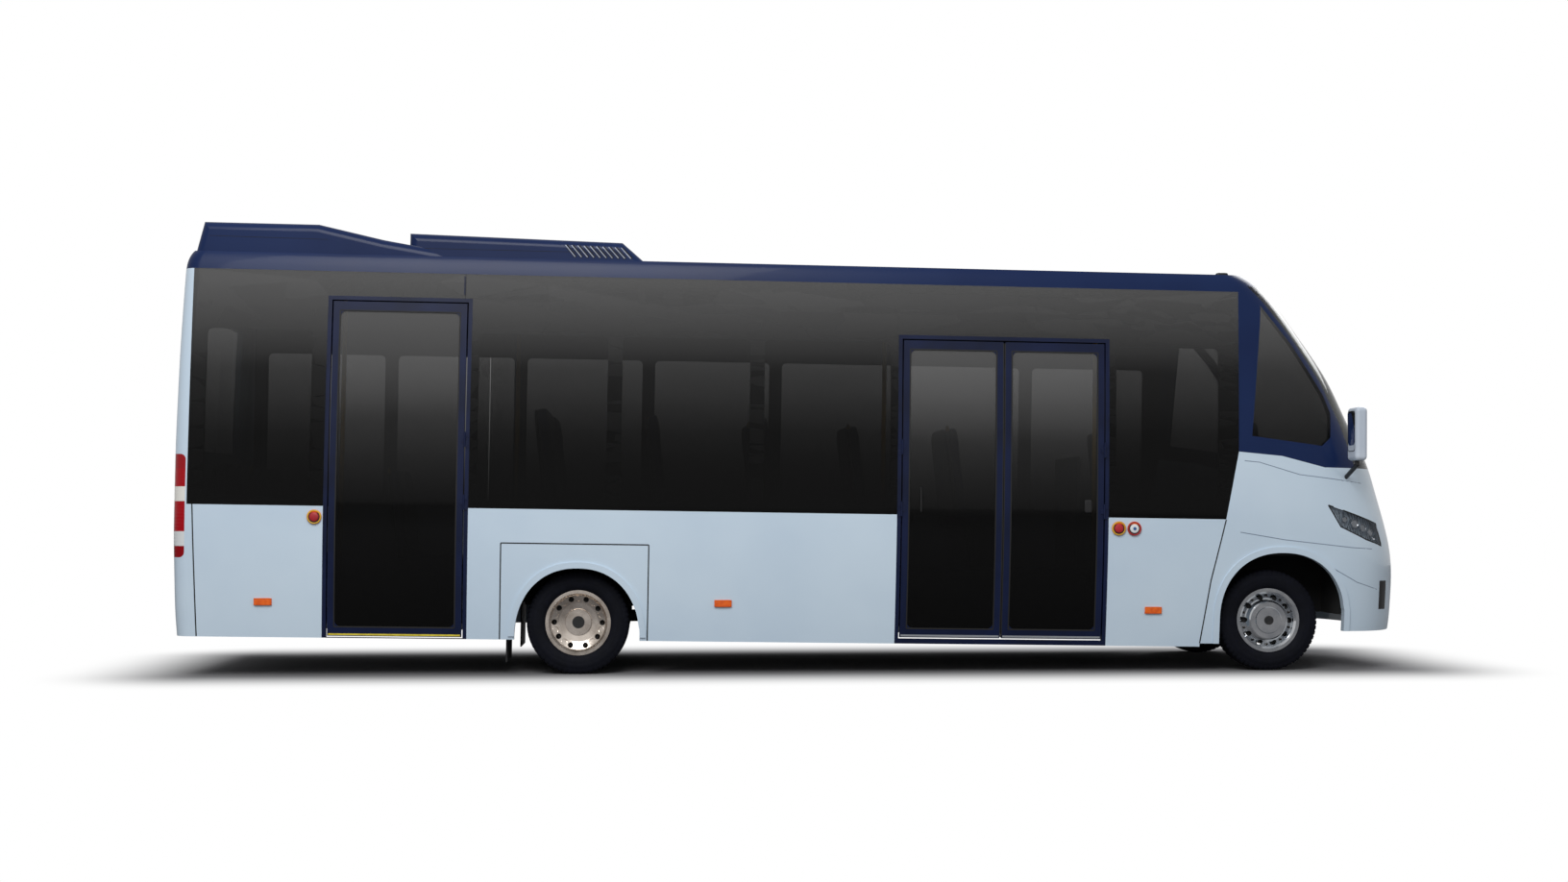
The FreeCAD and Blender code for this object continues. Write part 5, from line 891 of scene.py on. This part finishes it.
moquette, tree, shader = start_material("blue_moquette", "#27365E", {"Sheen Weight": 0.35, "Roughness": 0.85})
weave = add_node(tree, "TexVoronoi", {"Scale": 55.0}, {"Vector": object_place(tree)}, feature="F1")
tinted(tree, shader, weave.outputs["Distance"], [(0.12, "#8A93AE"), (0.2, "#2B3B68"), (0.5, "#1E2A4C")])
bump(tree, shader, noise(tree, 3), 0.3, 0.6)
shell_grey = plastic("moulded_seat_shell", "#4B4F56", "#42464C", 0.4, 6)
pads, frames, loops = [], [], []
units = [(station, side * SEAT_PLANE, floor_top, (-0.25, 0.25), SEAT_WIDTH)
         for station, side, floor_top in SEATS]
for station, plane, floor_top, places, width in units + [DRIVER_SEAT]:
    base = floor_top + SEAT_LIFT
    for place in places:
        middle = plane + place * SEAT_WIDTH
        pads.append(pad((station + 268, middle, base + 64), CUSHION_HALF, CUSHION_LEAN))
        pads.append(pad((station + 52, middle, base + 452), SQUAB_HALF, SQUAB_LEAN))
    frames.append(pad((station + 2, plane, base + 440), (16, width / 2 - 4, 352), SQUAB_LEAN, 14, 40))
    pedestal = np.array((station + 260, plane, floor_top + 180)) * MM
    frames.append(in_bus(pillow(pedestal, PEDESTAL_HALF, 0.2) / MM))
    if len(places) > 1:
        aisle = plane - np.sign(plane) * (width / 2 - 60)
        bow = np.linspace(0, pi, 13)
        path = np.stack([np.full(13, station - 28.0), aisle + 46 * np.cos(bow),
                         base + 770 + 34 * np.sin(bow)], -1)
        loops.append(tube(in_bus(path), 11, 12))
seat_pads = shells("seat_pads", pads, moquette, "bus_body", sharp=60)
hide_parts("seats")
shells("seat_frames", frames, shell_grey, "bus_body")
shells("seat_grab_loops", loops, yellow_rail, "bus_body")

# Last trims: a navy painted capping at the head of one post a side, in line with the rear door's front edge;
# small black housings for clearance lamps on the roof's front edge; and the lift-off seams along the roof
# fairing and the cooling unit.
POST_LINES = [[(-2542, 2640), (-2542, 2836)]]
UNIT_LINES = [[(-4380, 3100), (-3540, 3092)], [(-2960, 3085), (-1300, 3085)]]
shells("post_cappings", strips(skin("side_glass", "window_frames"), POST_LINES, (10, 0.8, 3.0)), navy_powder,
       "bus_body")
roof_skin = skin("roof", "cab_frame")
spots = [nearest_hit(roof_skin, in_bus((3075, side * 820, 4500)), (0, 0, -1)) for side in (-1, 1)]
lamps = [pillow(spot + np.array([0, 0, 6]) * MM, (46, 24, 17), 0.5) for spot in spots]
shells("roof_clearance_lamps", lamps, wiper_black, "bus_body")
shells("roof_unit_seams", strips(skin("roof_fairing", "air_conditioner"), UNIT_LINES, (3, 0.6, 2.0)),
       slot_shade_and_seams, "bus_body")

# The studio: a wide pale floor that takes the bus's shadow, an even white world, and two large soft lamps.
# The world is white to the camera and through glass, and a plain grey light on everything else. The floor
# fades to the same white for the camera, within 1.3 m of the bus, so the grey left round the bus is a painted
# shadow on top of the shadow the lamps cast.
FLOOR_SIZE = 60.0
PAINTED_SHADOW_HALF, PAINTED_SHADOW_REACH, PAINTED_SHADOW_POWER = (4.35, 0.9, 0), 1.3, 0.7
floor_mesh = bpy.data.meshes.new("studio_floor")
edge = FLOOR_SIZE / 2
corners = [(-edge, -edge, 0), (edge, -edge, 0), (edge, edge, 0), (-edge, edge, 0)]
floor_mesh.from_pydata(corners, [], [(0, 1, 2, 3)])
floor = bpy.data.objects.new("studio_floor", floor_mesh)
bpy.context.scene.collection.objects.link(floor)
floor_with_painted_shadow, tree, shader = start_material("floor_with_painted_shadow", "#7E7E80",
                                          {"Roughness": 0.9, "Specular IOR Level": 0.0})
mottled(tree, shader, "#808082", "#7B7B7D", 900)
# The floor's grey, kept for the camera only round the bus's outline and fading out from it, is a painted
# shadow.
beyond = add_node(tree, "VectorMath", {}, {0: object_place(tree)}, operation="ABSOLUTE")
beyond = add_node(tree, "VectorMath", {1: PAINTED_SHADOW_HALF}, {0: beyond.outputs[0]}, operation="SUBTRACT")
beyond = add_node(tree, "VectorMath", {1: (0, 0, 0)}, {0: beyond.outputs[0]}, operation="MAXIMUM")
beyond = add_node(tree, "VectorMath", {}, {0: beyond.outputs[0]}, operation="LENGTH")
share = add_node(tree, "MapRange", {"From Min": 0.0, "From Max": PAINTED_SHADOW_REACH},
                 {"Value": beyond.outputs["Value"]}, interpolation_type="SMOOTHERSTEP")
share = add_node(tree, "Math", {1: PAINTED_SHADOW_POWER}, {0: share.outputs[0]}, operation="POWER")
rays = add_node(tree, "LightPath")
share = add_node(tree, "Math", {}, {0: share.outputs[0], 1: rays.outputs["Is Camera Ray"]},
                 operation="MULTIPLY")
plain_white = add_node(tree, "Emission", {"Color": (1, 1, 1, 1), "Strength": 1.0})
floor_painted_shadow_mix = add_node(tree, "MixShader", {},
                 {0: share.outputs[0], 1: shader.outputs[0], 2: plain_white.outputs[0]})
output = [node for node in tree.nodes if node.bl_idname == "ShaderNodeOutputMaterial"][0]
tree.links.new(floor_painted_shadow_mix.outputs[0], output.inputs["Surface"])
floor_mesh.materials.append(floor_with_painted_shadow)

world = bpy.data.worlds.new("even_white")
bpy.context.scene.world = world
world.use_nodes = True
tree = world.node_tree
for old in list(tree.nodes):
    tree.nodes.remove(old)
rays = add_node(tree, "LightPath")
seen = add_node(tree, "Math", {}, {0: rays.outputs["Is Camera Ray"], 1: rays.outputs["Is Transmission Ray"]},
                operation="MAXIMUM")
shown = add_node(tree, "Background", {"Color": (1, 1, 1, 1), "Strength": 1.0})
lighting = add_node(tree, "Background", {"Color": (1, 1, 1, 1), "Strength": 0.55})
mixed = add_node(tree, "MixShader", {}, {0: seen.outputs[0], 1: lighting.outputs[0], 2: shown.outputs[0]})
add_node(tree, "OutputWorld", {}, {"Surface": mixed.outputs[0]})


def soft_lamp(name, place, aim, size, watts):
    """Square area lamp at a place, turned to shine at a point."""
    data = bpy.data.lights.new(name, "AREA")
    data.size = size
    data.energy = watts
    made = bpy.data.objects.new(name, data)
    made.location = place
    made.rotation_euler = (Vector(aim) - Vector(place)).to_track_quat("-Z", "Y").to_euler()
    bpy.context.scene.collection.objects.link(made)


soft_lamp("key", (-3.0, -11.5, 9.5), (0, 0, 1.2), 7.0, 1200)
soft_lamp("fill", (9.0, 8.0, 8.5), (0, 0, 1.2), 8.0, 650)
